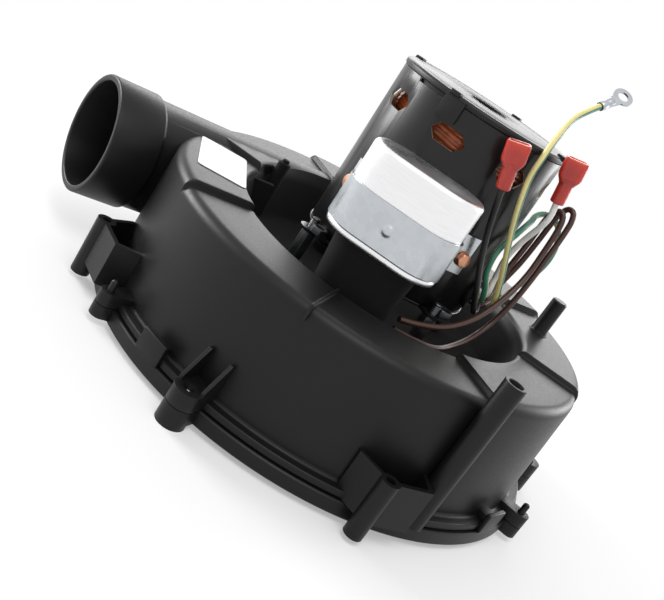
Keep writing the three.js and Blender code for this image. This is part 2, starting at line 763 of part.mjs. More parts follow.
function lowerCover() {
  const rimInner = coverRimRadius - coverRimWall;
  const curveTop = inletLipLevel - inletLipHeight;
  const outerThroat = inletThroatRadius + inletLipWall;
  const tray = turned([
    [rimInner, rimBottomLevel],
    [coverRimRadius, rimBottomLevel],
    [coverRimRadius, coverTopLevel],
    [rimInner, coverTopLevel],
    [rimInner, coverPlateTopLevel],
    [coverRingRadius, coverPlateTopLevel],
    [coverRingRadius, coverRingTopLevel],
    [coverRingRadius - coverRingWall, coverRingTopLevel],
    [coverRingRadius - coverRingWall, coverPlateTopLevel],
    ...bellCurve(inletFlareRadius + inletLipWall, outerThroat, coverPlateTopLevel, curveTop),
    [outerThroat, inletLipLevel],
    [inletThroatRadius, inletLipLevel],
    ...bellCurve(inletFlareRadius, inletThroatRadius, coverPlateLevel, curveTop).reverse(),
    [rimInner, coverPlateLevel],
  ]);
  const seat = turned([
    [inletSeatInnerRadius, rimBottomLevel],
    [inletSeatOuterRadius, rimBottomLevel],
    [inletSeatOuterRadius, coverPlateLevel + housingWall / 2],
    [inletSeatInnerRadius, coverPlateLevel + housingWall / 2],
  ]);
  const ribs = Array.from({ length: coverRibCount }, (_, i) => spoke(
    sectorStartDegrees + (i + 0.5) * (360 / coverRibCount), inletSeatOuterRadius - overrun, rimInner + overrun,
    coverRibThickness, rimBottomLevel, coverPlateLevel + housingWall / 2));
  const latchInner = flangeRadius + seatGap;
  const latches = latchDegrees.map((degrees) => cut(
    spoke(degrees, latchInner, latchInner + latchThickness, latchWidth, rimBottomLevel, latchTopLevel),
    spoke(degrees, latchInner - overrun, latchInner + latchThickness + overrun, latchWindowWidth,
      latchWindowBottomLevel, latchWindowTopLevel)));
  const ears = screwEarDegrees.map((degrees) => join(
    pillar(screwEarRadius, 0, coverTopLevel, point(screwEarPlaceRadius, degrees)),
    spoke(degrees, rimInner, screwEarPlaceRadius, 2 * screwEarRadius, rimBottomLevel, coverTopLevel)));
  const pinEars = pinEarDegrees.map((degrees) => join(
    pillar(pinEarRadius, pinEarBottomLevel, coverTopLevel, point(pinEarPlaceRadius, degrees), pegFacets),
    spoke(degrees, rimInner, pinEarPlaceRadius, 2 * pinEarRadius, pinEarBottomLevel, coverTopLevel),
    pillar(pinRadius, coverTopLevel - overrun, pinTopLevel, point(pinEarPlaceRadius, degrees), pegFacets)));
  const holes = screwEarDegrees.flatMap((degrees) => [
    pillar(screwHoleRadius, -overrun, coverTopLevel + overrun, point(screwEarPlaceRadius, degrees), pegFacets),
    pillar(coverScrewHeadRadius + seatGap, -overrun, coverScrewSeatLevel, point(screwEarPlaceRadius, degrees)),
  ]);
  return cut(join(tray, seat, ribs, latches, ears, pinEars), holes);
}
piece('lower_cover', lowerCover(), mouldedBlack);

piece('inlet_gasket', turned([
  [inletSeatInnerRadius + seatGap, rimBottomLevel - seatGap - gasketThickness],
  [inletSeatOuterRadius - seatGap, rimBottomLevel - seatGap - gasketThickness],
  [inletSeatOuterRadius - seatGap, rimBottomLevel - seatGap],
  [inletSeatInnerRadius + seatGap, rimBottomLevel - seatGap],
], shellFacets), foam);

screwEarDegrees.forEach((degrees, i) => {
  const place = point(screwEarPlaceRadius, degrees);
  const headTop = coverScrewSeatLevel - seatGap;
  piece(`cover_screw_${i + 1}`, join(
    pillar(coverScrewHeadRadius, headTop - coverScrewHeadHeight, headTop, place),
    pillar(coverScrewRadius, headTop - overrun, screwEarTopLevel - coverScrewTipDepth, place, pegFacets),
  ), zincSteel);
});

// A strip of even thickness along a flat path
function strip(path, thickness) {
  const left = [];
  const right = [];
  path.forEach((corner, i) => {
    const before = path[Math.max(i - 1, 0)];
    const after = path[Math.min(i + 1, path.length - 1)];
    const inward = corner.clone().sub(before).normalize();
    const outward = after.clone().sub(corner).normalize();
    const along = i === 0 ? outward : i === path.length - 1 ? inward : inward.clone().add(outward).normalize();
    const reference = i === 0 ? outward : inward;
    const across = new THREE.Vector2(-along.y, along.x);
    const reach = thickness / 2 / Math.max(along.dot(reference), 0.5);
    left.push(corner.clone().addScaledVector(across, reach));
    right.unshift(corner.clone().addScaledVector(across, -reach));
  });
  return new THREE.Shape([...left, ...right]);
}

// Wheel: back plate, core and backward-curved blades in one moulding, with a shroud ring below them
const shroudOutline = (() => {
  const eye = wheelEyeRadius;
  const lipTop = wheelShroudEyeLevel + wheelEyeLipHeight;
  const middle = (eye + wheelRadius) / 2;
  const bow = wheelShroudThickness / 2;
  const middleLevel = (lipTop + wheelShroudTipLevel) / 2 + bow;
  return [
    [eye, wheelShroudEyeLevel],
    [eye + wheelShroudThickness, wheelShroudEyeLevel],
    [eye + wheelShroudThickness, lipTop - bow],
    [middle, middleLevel],
    [wheelRadius, wheelShroudTipLevel],
    [wheelRadius, wheelShroudTipLevel + wheelShroudThickness],
    [middle, middleLevel + wheelShroudThickness],
    [eye + wheelShroudThickness, lipTop + wheelShroudThickness],
    [eye, lipTop + wheelShroudThickness],
  ];
})();
piece('impeller_shroud', turned(shroudOutline, shellFacets), wheelPlastic);

function bladePath(steps = 4) {
  return Array.from({ length: steps + 1 }, (_, i) => {
    const share = i / steps;
    const radius = bladeInnerRadius + share * (wheelRadius - bladeThickness / 2 - bladeInnerRadius);
    return point(radius, -bladeSweepDegrees * share ** bladeCurvePower);
  });
}

function impellerWheel() {
  const plateBottom = wheelPlateTopLevel - wheelPlateThickness;
  const boreRadius = hubRadius + seatGap;
  const plate = turned([
    [boreRadius, wheelCoreBottomLevel],
    [wheelCoreRadius, wheelCoreBottomLevel],
    [wheelCoreRadius, plateBottom - wheelRootRound],
    ...fillet(wheelCoreRadius + wheelRootRound, plateBottom - wheelRootRound, wheelRootRound, 180, 90, 2),
    [wheelRadius, plateBottom],
    [wheelRadius, wheelPlateTopLevel],
    [boreRadius, wheelPlateTopLevel],
  ], shellFacets);
  const blades = Array.from({ length: bladeCount }, (_, i) => toSolid(
    raised(strip(bladePath(), bladeThickness), wheelShroudEyeLevel, plateBottom + wheelPlateThickness / 2)
      .rotateZ(i * 2 * Math.PI / bladeCount)));
  const [eyeRadius] = shroudOutline[0];
  const [middle, middleLevel] = shroudOutline[6];
  const [, tipLevel] = shroudOutline[5];
  const [, eyeLevel] = shroudOutline[8];
  const belowBlades = turned([
    [0, 0],
    [wheelRadius + overrun, 0],
    [wheelRadius + overrun, tipLevel + seatGap],
    [middle, middleLevel + seatGap],
    [eyeRadius + wheelShroudThickness, eyeLevel + seatGap],
    [0, eyeLevel + seatGap],
  ], shellFacets);
  return join(plate, cut(join(blades), belowBlades));
}
piece('impeller_wheel', impellerWheel(), wheelPlastic);

const shaftBore = shaftRadius + runningGap;
piece('impeller_hub', cut(
  turned([
    [shaftBore, hubBottomLevel],
    [hubRadius, hubBottomLevel],
    [hubRadius, hubTopLevel],
    [shaftBore, hubTopLevel],
  ], shaftFacets),
  radialPin(0, shaftBore - overrun, hubRadius + overrun, setScrewRadius + seatGap / 2, setScrewLevel),
), bronze);
piece('hub_set_screw',
  radialPin(0, shaftRadius + seatGap, hubRadius + setScrewProud, setScrewRadius, setScrewLevel), darkSteel);
piece('shaft_clip', turned([
  [shaftBore, hubBottomLevel - seatGap - clipThickness],
  [clipRadius, hubBottomLevel - seatGap - clipThickness],
  [clipRadius, hubBottomLevel - seatGap],
  [shaftBore, hubBottomLevel - seatGap],
], shaftFacets), zincSteel);

// Shaft, bearings, rotor and stator
piece('motor_shaft', turned([
  [0, shaftBottomLevel],
  [shaftRadius - runningGap, shaftBottomLevel],
  [shaftRadius, shaftBottomLevel + shaftChamfer],
  [shaftRadius, shaftTopLevel - shaftChamfer],
  [shaftRadius - shaftChamfer, shaftTopLevel],
  [0, shaftTopLevel],
], shaftFacets), zincSteel);

const cupInner = capHoleRadius;
const bearingOutline = (bottom) => [
  [shaftBore, bottom],
  [bearingRadius - bearingRoundness, bottom],
  [bearingRadius, bottom + bearingRoundness],
  [bearingRadius, bottom + bearingHeight - bearingRoundness],
  [bearingRadius - bearingRoundness, bottom + bearingHeight],
  [shaftBore, bottom + bearingHeight],
];
const upperBearingLevel = motorTopLevel - cupDepth + seatGap;
const lowerBearingLevel = motorBottomLevel + cupDepth - seatGap - bearingHeight;
piece('upper_bearing', turned(bearingOutline(upperBearingLevel), shaftFacets), bronze);
piece('lower_bearing', turned(bearingOutline(lowerBearingLevel), shaftFacets), bronze);

const ring = (innerRadius, outerRadius, bottom, top, facets = smallFacets) => turned([
  [innerRadius, bottom],
  [outerRadius, bottom],
  [outerRadius, top],
  [innerRadius, top],
], facets);
piece('rotor_core', ring(shaftBore, rotorRadius, statorLevel, statorTopLevel, shaftFacets), darkSteel);
piece('rotor_end_ring_upper', ring(rotorRadius / 2, rotorRadius - rotorRingInset, statorTopLevel + seatGap,
  statorTopLevel + rotorRingHeight), aluminium);
piece('rotor_end_ring_lower', ring(rotorRadius / 2, rotorRadius - rotorRingInset, statorLevel - rotorRingHeight,
  statorLevel - seatGap), aluminium);
piece('stator_core', ring(statorBoreRadius, canInnerRadius - seatGap, statorLevel, statorTopLevel, shellFacets), darkSteel);

// End turns of the windings: a rounded ring whose wire bundles bulge evenly round it
function windingRing(bottom) {
  const middleRadius = (windingInnerRadius + windingOuterRadius) / 2;
  const halfWidth = (windingOuterRadius - windingInnerRadius) / 2;
  const profile = Array.from({ length: 7 }, (_, i) => {
    const angle = (i + 0.5) * Math.PI / 3;
    return new THREE.Vector2(middleRadius + halfWidth * Math.cos(angle), bottom + windingHeight / 2 * (1 + Math.sin(angle)));
  });
  const geometry = new THREE.LatheGeometry(profile, windingLobes * 2);
  geometry.rotateX(Math.PI / 2);
  const places = geometry.getAttribute('position');
  for (let i = 0; i < places.count; i += 1) {
    const radius = Math.hypot(places.getX(i), places.getY(i));
    const turn = Math.atan2(places.getY(i), places.getX(i));
    const bulge = windingLobeDepth * Math.cos(windingLobes * turn) * (radius - middleRadius) / halfWidth;
    places.setX(i, places.getX(i) * (radius + bulge) / radius);
    places.setY(i, places.getY(i) * (radius + bulge) / radius);
  }
  return toSolid(geometry);
}
piece('winding_upper', windingRing(statorTopLevel + seatGap), copperWire);
piece('winding_lower', windingRing(statorLevel - seatGap - windingHeight), copperWire);

// Motor can with its vent windows, lead hole, screw holes and top notch
function ventWindow(degrees) {
  const flat = windowHalfWidth * windowFlatShare;
  const shape = new THREE.Shape([
    [-windowHalfWidth, 0],
    [-flat, -windowHalfHeight],
    [flat, -windowHalfHeight],
    [windowHalfWidth, 0],
    [flat, windowHalfHeight],
    [-flat, windowHalfHeight],
  ].map(([x, y]) => new THREE.Vector2(x, y)));
  const geometry = new THREE.ExtrudeGeometry(shape, { depth: windowCutDepth, bevelEnabled: false });
  geometry.rotateX(Math.PI / 2);
  geometry.rotateZ(Math.PI / 2);
  geometry.translate(canRadius + overrun - windowCutDepth, 0, windowLevel);
  geometry.rotateZ(THREE.MathUtils.degToRad(degrees));
  return toSolid(geometry);
}

const strapScrewPlaces = [-1, 1].map((side) => capacitorDegrees + side * strapScrewDegrees);
function motorCan() {
  return cut(
    ring(canInnerRadius, canRadius, canBottomLevel, canTopLevel, shellFacets),
    Array.from({ length: windowCount }, (_, i) => ventWindow(windowFirstDegrees + i * 360 / windowCount)),
    spoke(slotDegrees, canInnerRadius - overrun, canRadius + overrun, slotWidth, canTopLevel - slotDepth,
      canTopLevel + overrun),
    radialPin(bushingDegrees, canInnerRadius - overrun, canRadius + overrun, bushingNeckRadius + seatGap,
      bushingLevel, smallFacets),
    strapScrewPlaces.map((degrees) => radialPin(degrees, canInnerRadius - overrun, canRadius + overrun,
      strapScrewRadius + seatGap, strapScrewLevel)),
  );
}
piece('motor_can', motorCan(), paintedSteel);

function endCapOutline(flatLevel, inward) {
  const at = (depth) => flatLevel + inward * depth;
  const outer = canRadius + capProud;
  const spigotOuter = canInnerRadius - seatGap;
  return [
    [cupInner, at(0)],
    [cupInner, at(cupDepth)],
    [cupLipRadius, at(cupDepth)],
    [cupLipRadius, at(cupDepth + capSheet)],
    [cupInner + capSheet, at(cupDepth + capSheet)],
    [cupInner + capSheet, at(capSheet)],
    [spigotOuter - capSpigotWall, at(capSheet)],
    [spigotOuter - capSpigotWall, at(capHeight + capSpigotDepth)],
    [spigotOuter, at(capHeight + capSpigotDepth)],
    [spigotOuter, at(capHeight)],
    [outer, at(capHeight)],
    [outer, at(capRound)],
    [outer - capRound, at(0)],
  ];
}

function motorEndCap() {
  const outer = canRadius + capProud;
  const tab = spoke(tabDegrees, canRadius + seatGap, canRadius + seatGap + tabThickness, tabWidth,
    motorTopLevel - capRound - tabDrop, motorTopLevel - capRound);
  const lugs = Array.from({ length: crimpCount }, (_, i) => spoke(crimpFirstDegrees + i * 360 / crimpCount,
    outer - crimpLength, outer + crimpHeight / 2, crimpWidth, motorTopLevel - capSheet, motorTopLevel + crimpHeight));
  return join(turned(endCapOutline(motorTopLevel, -1), shellFacets), tab, lugs);
}
piece('motor_end_cap', motorEndCap(), paintedSteel);

function motorBaseCap() {
  const plateTop = motorBottomLevel + capSheet;
  const outer = canRadius + capProud;
  const spigotOuter = canInnerRadius - seatGap;
  const dish = turned([
    [cupInner, motorBottomLevel],
    [outer, motorBottomLevel],
    [outer, plateTop],
    [spigotOuter, plateTop],
    [spigotOuter, plateTop + capSpigotDepth],
    [spigotOuter - capSpigotWall, plateTop + capSpigotDepth],
    [spigotOuter - capSpigotWall, plateTop],
    [cupInner + capSheet, plateTop],
    [cupInner + capSheet, motorBottomLevel + cupDepth + capSheet],
    [cupLipRadius, motorBottomLevel + cupDepth + capSheet],
    [cupLipRadius, motorBottomLevel + cupDepth],
    [cupInner, motorBottomLevel + cupDepth],
  ], shellFacets);
  const lugs = lugDegrees.map((degrees) => join(
    spoke(degrees, spigotOuter, lugPlaceRadius, 2 * lugRadius, motorBottomLevel, plateTop),
    pillar(lugRadius, motorBottomLevel, plateTop, point(lugPlaceRadius, degrees))));
  const holes = lugDegrees.map((degrees) => pillar(lugHoleRadius, motorBottomLevel - overrun, plateTop + overrun,
    point(lugPlaceRadius, degrees), pegFacets));
  return cut(join(dish, lugs), holes);
}
piece('motor_base_cap', motorBaseCap(), paintedSteel);

// Rubber-mounted standoffs that carry the motor above the well's floor
lugDegrees.forEach((degrees, i) => {
  const place = point(lugPlaceRadius, degrees);
  const bossTop = wellFloorLevel + floorBossHeight;
  const grommetBottom = bossTop + seatGap;
  const spacerBottom = grommetBottom + grommetHeight + seatGap;
  const nutBottom = basePlateTopLevel + seatGap;
  piece(`motor_grommet_${i + 1}`, cut(
    pillar(grommetRadius, grommetBottom, grommetBottom + grommetHeight, place),
    pillar(lugHoleRadius, grommetBottom - overrun, grommetBottom + grommetHeight + overrun, place, pegFacets),
  ), blackRubber);
  piece(`motor_standoff_${i + 1}`, join(
    pillar(spacerRadius, spacerBottom, motorBottomLevel - seatGap, place, hexFacets),
    pillar(studRadius, bossTop - floorBossHoleDepth + studEndGap, studTopLevel, place, pegFacets),
  ), zincSteel);
  piece(`motor_nut_${i + 1}`, cut(
    pillar(nutRadius, nutBottom, nutBottom + nutHeight, place, hexFacets),
    pillar(lugHoleRadius, nutBottom - overrun, nutBottom + nutHeight + overrun, place, pegFacets),
  ), zincSteel);
});

// Outline with half-round ends, its long side along x
function ovalOutline(length, thickness, steps = 6) {
  const radius = thickness / 2;
  const half = length / 2 - radius;
  const corners = [1, -1].flatMap((side) => Array.from({ length: steps + 1 }, (_, i) => {
    const corner = point(radius, side * 90 - 180 + (180 * i) / steps);
    return new THREE.Vector2(side * half + corner.x, corner.y);
  }));
  return new THREE.Shape(corners);
}

// Places a shape drawn with x across and y outwards at the capacitor's direction
function atCapacitor(geometry, placeRadius) {
  geometry.translate(0, placeRadius, 0);
  geometry.rotateZ(THREE.MathUtils.degToRad(capacitorDegrees - 90));
  return geometry;
}

// Run capacitor, terminals down: drawn can with a rolled bead round its lid
function capacitorCan() {
  const body = new THREE.ExtrudeGeometry(
    ovalOutline(capacitorLength - 2 * capacitorEdgeRound, capacitorThickness - 2 * capacitorEdgeRound),
    {
      depth: capacitorTopLevel - capacitorBottomLevel - 2 * capacitorEdgeRound,
      bevelEnabled: true,
      bevelThickness: capacitorEdgeRound,
      bevelSize: capacitorEdgeRound,
      bevelSegments: 2,
    });
  body.translate(0, 0, capacitorBottomLevel + capacitorEdgeRound);
  const bead = new THREE.ExtrudeGeometry(
    ovalOutline(capacitorLength, capacitorThickness),
    { depth: beadHeight - 2 * beadProud, bevelEnabled: true, bevelThickness: beadProud, bevelSize: beadProud, bevelSegments: 2 });
  bead.translate(0, 0, capacitorBottomLevel + beadProud);
  return join(toSolid(atCapacitor(body, capacitorPlaceRadius)), toSolid(atCapacitor(bead, capacitorPlaceRadius)));
}
piece('capacitor_can', capacitorCan(), aluminium);

const lidLength = bootTopWidth - 2 * bootWall - 2 * lidInset;
const lidWidth = bootDepth - 2 * bootWall - 2 * lidInset;
const lidTopLevel = capacitorBottomLevel - seatGap;
const lidBottomLevel = lidTopLevel - lidThickness;
function capacitorLid() {
  const lid = toSolid(atCapacitor(raised(
    ovalOutline(lidLength, lidWidth), lidBottomLevel, lidTopLevel),
  bootPlaceRadius));
  const terminals = [-1, 1].map((side) => {
    const blade = new THREE.BoxGeometry(bladeTerminalThickness, bladeTerminalWidth, bladeTerminalLength + lidThickness);
    blade.translate(side * bladeTerminalSpacing / 2, 0, lidTopLevel - (bladeTerminalLength + lidThickness) / 2 - seatGap);
    return toSolid(atCapacitor(blade, bootPlaceRadius));
  });
  return join(lid, terminals);
}
piece('capacitor_lid', capacitorLid(), darkSteel);

// Rubber boot over the terminals, narrowing downwards
function taperedOval(width, depth, narrowing, bottom, top) {
  const geometry = raised(ovalOutline(width, depth), bottom, top);
  const places = geometry.getAttribute('position');
  for (let i = 0; i < places.count; i += 1) {
    const share = (top - places.getZ(i)) / (top - bottom);
    places.setX(i, places.getX(i) * (1 - share * narrowing / width));
    places.setY(i, places.getY(i) * (1 - share * narrowing / width));
  }
  return toSolid(atCapacitor(geometry, bootPlaceRadius));
}

function capacitorBoot() {
  const top = capacitorBottomLevel - seatGap;
  const narrowing = bootTopWidth - bootBottomWidth;
  const outer = taperedOval(bootTopWidth, bootDepth, narrowing, bootBottomLevel, top);
  const inner = taperedOval(bootTopWidth - 2 * bootWall, bootDepth - 2 * bootWall, narrowing,
    bootBottomLevel + bootWall, top + overrun);
  return cut(outer, inner);
}
piece('capacitor_boot', capacitorBoot(), blackRubber);

// Strap: a band round the capacitor whose ends flare out onto the motor can
function strapPath() {
  const bandRadius = capacitorThickness / 2 + seatGap + strapThickness / 2;
  const half = (capacitorLength - capacitorThickness) / 2;
  const earRadius = canRadius + seatGap + strapThickness / 2;
  const earAt = (share) => point(earRadius,
    90 - strapEarEndDegrees + share * (strapEarEndDegrees - strapEarStartDegrees));
  const right = [
    ...[0, 0.25, 0.5, 0.75, 1].map(earAt),
    ...Array.from({ length: strapEndSteps + 1 }, (_, i) => {
      const corner = point(bandRadius, i * (90 + strapNeckDegrees) / strapEndSteps - strapNeckDegrees);
      return new THREE.Vector2(half + corner.x, capacitorPlaceRadius + corner.y);
    }),
  ];
  const left = right.map((corner) => new THREE.Vector2(-corner.x, corner.y)).reverse();
  return [...right, ...left];
}

function capacitorStrap() {
  const band = raised(strip(strapPath(), strapThickness), strapBottomLevel, strapTopLevel);
  band.rotateZ(THREE.MathUtils.degToRad(capacitorDegrees - 90));
  return cut(toSolid(band), strapScrewPlaces.map((degrees) => radialPin(degrees, canRadius - overrun,
    canRadius + overrun + strapThickness, strapScrewRadius + seatGap, strapScrewLevel)));
}
piece('capacitor_strap', capacitorStrap(), zincSteel);

strapScrewPlaces.forEach((degrees, i) => {
  const headInner = canRadius + 2 * seatGap + strapThickness;
  piece(`strap_screw_${i + 1}`, join(
    radialPin(degrees, headInner, headInner + strapScrewHeadHeight, strapScrewHeadRadius, strapScrewLevel, hexFacets),
    radialPin(degrees, canInnerRadius + seatGap, headInner + overrun, strapScrewRadius, strapScrewLevel),
  ), copperPlate);
});

// Blank label on the scroll
function labelPlate() {
  const halfLength = labelLength / 2;
  const halfWidth = labelWidth / 2;
  const shape = new THREE.Shape();
  shape.moveTo(-halfWidth + labelCorner, -halfLength);
  shape.lineTo(halfWidth - labelCorner, -halfLength);
  shape.quadraticCurveTo(halfWidth, -halfLength, halfWidth, -halfLength + labelCorner);
  shape.lineTo(halfWidth, halfLength - labelCorner);
  shape.quadraticCurveTo(halfWidth, halfLength, halfWidth - labelCorner, halfLength);
  shape.lineTo(-halfWidth + labelCorner, halfLength);
  shape.quadraticCurveTo(-halfWidth, halfLength, -halfWidth, halfLength - labelCorner);
  shape.lineTo(-halfWidth, -halfLength + labelCorner);
  shape.quadraticCurveTo(-halfWidth, -halfLength, -halfWidth + labelCorner, -halfLength);
  const bottom = topLevelOf(1) + labelGap;
  const geometry = raised(shape, bottom, bottom + labelThickness, 2);
  geometry.rotateZ(THREE.MathUtils.degToRad(labelDegrees + labelTurnDegrees));
  const place = point(labelPlaceRadius, labelDegrees);
  return geometry.translate(place.x, place.y, 0);
}
piece('blank_label', toSolid(labelPlate()), paper);

// Bushing where the leads leave the can
function leadBushing() {
  const flangeInner = canRadius + seatGap;
  return join(
    radialPin(bushingDegrees, canInnerRadius - bushingFlangeThickness, flangeInner + overrun, bushingNeckRadius,
      bushingLevel, smallFacets),
    radialPin(bushingDegrees, flangeInner, flangeInner + bushingFlangeThickness, bushingFlangeRadius,
      bushingLevel, smallFacets),
  );
}
piece('lead_bushing', leadBushing(), blackRubber);

// Leads: each leaves the bushing square to its face and follows its own route to its terminal
function bushingStart(place) {
  const turn = THREE.MathUtils.degToRad(bushingDegrees);
  const outward = new THREE.Vector3(Math.cos(turn), Math.sin(turn), 0);
  const aside = new THREE.Vector3(-Math.sin(turn), Math.cos(turn), 0);
  const round = place * 2 * Math.PI / leadNames.length;
  const start = outward.clone().multiplyScalar(canRadius + 2 * seatGap + bushingFlangeThickness)
    .addScaledVector(aside, leadBundleRadius * Math.sin(round));
  start.z = bushingLevel + leadBundleRadius * Math.cos(round);
  return [start, start.clone().addScaledVector(outward, leadStraight)];
}

function leadTube(points) {
  const curve = new THREE.CatmullRomCurve3(points, false, 'centripetal');
  const section = new THREE.Shape(Array.from({ length: 8 }, (_, i) => point(leadRadius, 45 * i)));
  const steps = Math.round(curve.getLength() / (2 * leadRadius * leadStepDiameters));
  return new THREE.ExtrudeGeometry(section, { steps, bevelEnabled: false, extrudePath: curve });
}

const leadNames = ['white', 'brown_inner', 'brown_outer', 'black', 'ground'];
const leadRoutes = {
  white: [[29.5, -36.5, 93], [26, -38, 104.5], [24.5, -41.5, 115.5], [22.4, -48.3, 131], [21, -48, 138.5]],
  brown_inner: [
    [34.5, -34.5, 89], [39, -30.5, 99], [41, -29.5, 113], [41, -30, 126], [42.5, -33, 134.5], [43.5, -36, 127],
    [44, -37.5, 115], [42, -40, 104], [36.5, -43.5, 94], [27.5, -48, 84.5], [16.5, -52, 76], [2.5, -54.5, 69.5],
    [-11.5, -54, 66.5], [-21.5, -54, 66],
  ],
  brown_outer: [
    [35.5, -35.5, 82.5], [40.5, -31, 91], [44.5, -29.5, 103], [45.5, -29.5, 117], [46, -30.5, 129], [47, -33.5, 137.5],
    [48, -37, 128], [48, -38, 115], [47, -39, 100], [44.5, -40, 85], [40, -41, 73], [30.5, -45, 65], [19, -50, 61],
    [3, -56.5, 59.5], [-10.5, -56, 60], [-20.5, -53, 60.5],
  ],
  black: [[21.5, -45.5, 78], [15, -49, 83], [10, -50, 90], [4, -48.5, 101], [-3, -47.5, 116.5], [-9.4, -48.8, 129.5],
    [-10.5, -48.5, 133.5]],
  ground: [
    [21.5, -43, 89], [16, -43, 97], [14, -43, 107], [21, -39.5, 117], [32.5, -31, 123], [38.5, -26, 126],
    [45.5, -24.5, 128], [50.5, -28, 127], [53, -32.5, 121], [53, -35, 112], [51.5, -34.5, 102], [48.5, -33, 93],
    [43.5, -34.5, 84], [38, -38, 79.5], [33.5, -42, 81.5], [29, -44, 89], [22, -45.5, 100], [13, -46.5, 114],
    [5.5, -46.5, 129], [1.5, -45.5, 143], [1.5, -45, 152], [5, -41.5, 161], [16.5, -31.5, 171], [25, -28, 177.5],
    [30, -26.5, 181],
  ],
};
const leadFinishes = {
  white: finish(0xe6e6e2, 0.5),
  brown_inner: finish(0x3a221b, 0.5),
  brown_outer: finish(0x3a221b, 0.5),
  black: finish(0x151515, 0.5),
  ground: finish(0xd8c64a, 0.5),
};
leadNames.forEach((name, place) => {
  const points = [...bushingStart(place), ...leadRoutes[name].map((corner) => new THREE.Vector3(...corner))];
  piece(`lead_${name}`, toSolid(leadTube(points)), leadFinishes[name]);
});

// Frame that stands at a lead's end, its z along the lead and its x across the view of the terminal
function endFrame(name, acrossDegrees) {
  const route = leadRoutes[name].map((corner) => new THREE.Vector3(...corner));
  const end = route[route.length - 1];
  const along = end.clone().sub(route[route.length - 2]).normalize();
  const wanted = point(1, acrossDegrees);
  const across = new THREE.Vector3(wanted.x, wanted.y, 0);
  across.addScaledVector(along, -across.dot(along)).normalize();
  const facing = along.clone().cross(across);
  return new THREE.Matrix4().makeBasis(across, facing, along).setPosition(end);
}

// Insulated push-on terminal: a flat sleeve over a round wire barrel
function flagTerminal(frame) {
  const barrel = new THREE.CylinderGeometry(flagBarrelRadius, flagBarrelRadius, flagBarrelLength, pegFacets);
  barrel.rotateX(Math.PI / 2);
  barrel.translate(0, 0, seatGap + flagBarrelLength / 2);
  const outline = new THREE.Shape([
    [-flagWidth / 2 + flagRound, -flagThickness / 2 + flagRound],
    [flagWidth / 2 - flagRound, -flagThickness / 2 + flagRound],
    [flagWidth / 2 - flagRound, flagThickness / 2 - flagRound],
    [-flagWidth / 2 + flagRound, flagThickness / 2 - flagRound],
  ].map(([x, y]) => new THREE.Vector2(x, y)));
  const sleeve = new THREE.ExtrudeGeometry(outline, {
    depth: flagHeight - 2 * flagRound,
    bevelEnabled: true,
    bevelThickness: flagRound,
    bevelSize: flagRound,
    bevelSegments: 2,
  });
  sleeve.translate(0, 0, seatGap + flagBarrelLength - overrun + flagRound);
  const body = join(toSolid(barrel), toSolid(sleeve));
  return toGeometry(body).applyMatrix4(frame);
}
const redNylon = finish(0xc23a30, 0.45);
piece('red_terminal_black_lead', toSolid(flagTerminal(endFrame('black', terminalFaceDegrees))), redNylon);
piece('red_terminal_white_lead', toSolid(flagTerminal(endFrame('white', terminalFaceDegrees))), redNylon);

// Ring terminal of the ground lead: crimped barrel, tongue and eye in one stamping
function ringTerminal(frame) {
  const barrel = new THREE.CylinderGeometry(ringTerminalBarrelRadius, ringTerminalBarrelRadius, ringTerminalBarrelLength, pegFacets);
  barrel.rotateX(Math.PI / 2);
  barrel.translate(0, 0, seatGap + ringTerminalBarrelLength / 2);
  const tongueLength = ringTerminalReach - ringTerminalBarrelLength;
  const tongue = new THREE.BoxGeometry(ringTerminalTongueWidth, ringTerminalThickness, tongueLength);
  tongue.translate(0, 0, ringTerminalBarrelLength - overrun + tongueLength / 2);
  const eye = new THREE.CylinderGeometry(ringTerminalRadius, ringTerminalRadius, ringTerminalThickness, smallFacets);
  eye.translate(0, 0, ringTerminalReach);
  const hole = new THREE.CylinderGeometry(ringTerminalHoleRadius, ringTerminalHoleRadius, ringTerminalThickness + overrun, pegFacets);
  hole.translate(0, 0, ringTerminalReach);
  const body = cut(join(toSolid(barrel), toSolid(tongue), toSolid(eye)), toSolid(hole));
  return toGeometry(body).applyMatrix4(frame);
}
piece('ground_ring_terminal', toSolid(ringTerminal(endFrame('ground', terminalFaceDegrees))), zincSteel);

// The origin is the middle of the rigid pieces' outline, on the floor they stand on
const cordPieces = ['lead_', 'red_terminal', 'ground_ring'];
const outline = new THREE.Box3();
for (const mesh of pieces) {
  if (cordPieces.some((start) => mesh.name.startsWith(start) && mesh.name !== 'lead_bushing')) continue;
  mesh.geometry.computeBoundingBox();
  outline.union(mesh.geometry.boundingBox);
}
const middle = outline.getCenter(new THREE.Vector3());
const combustionFan = new THREE.Group();
combustionFan.name = 'combustion_fan';
combustionFan.position.set(-middle.x, -middle.y, 0);
combustionFan.add(...pieces);

export default combustionFan;
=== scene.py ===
# %% [markdown]
# # A furnace's combustion fan
# A moulded scroll with a stepped top, a snap-on cover, and a motor that stands in the scroll's well.
# The model comes from CAD. This script gives it its finer forms, its materials and its light.
# Sizes are in millimetres about the motor's shaft; `place` turns them into metres of the CAD frame.
# The shaft's own box tells where that frame has the motor axis, so nothing here has to know it.

# %% The frame and the tools
import math
import bmesh
import bpy
import numpy as np
from mathutils import Matrix, Vector


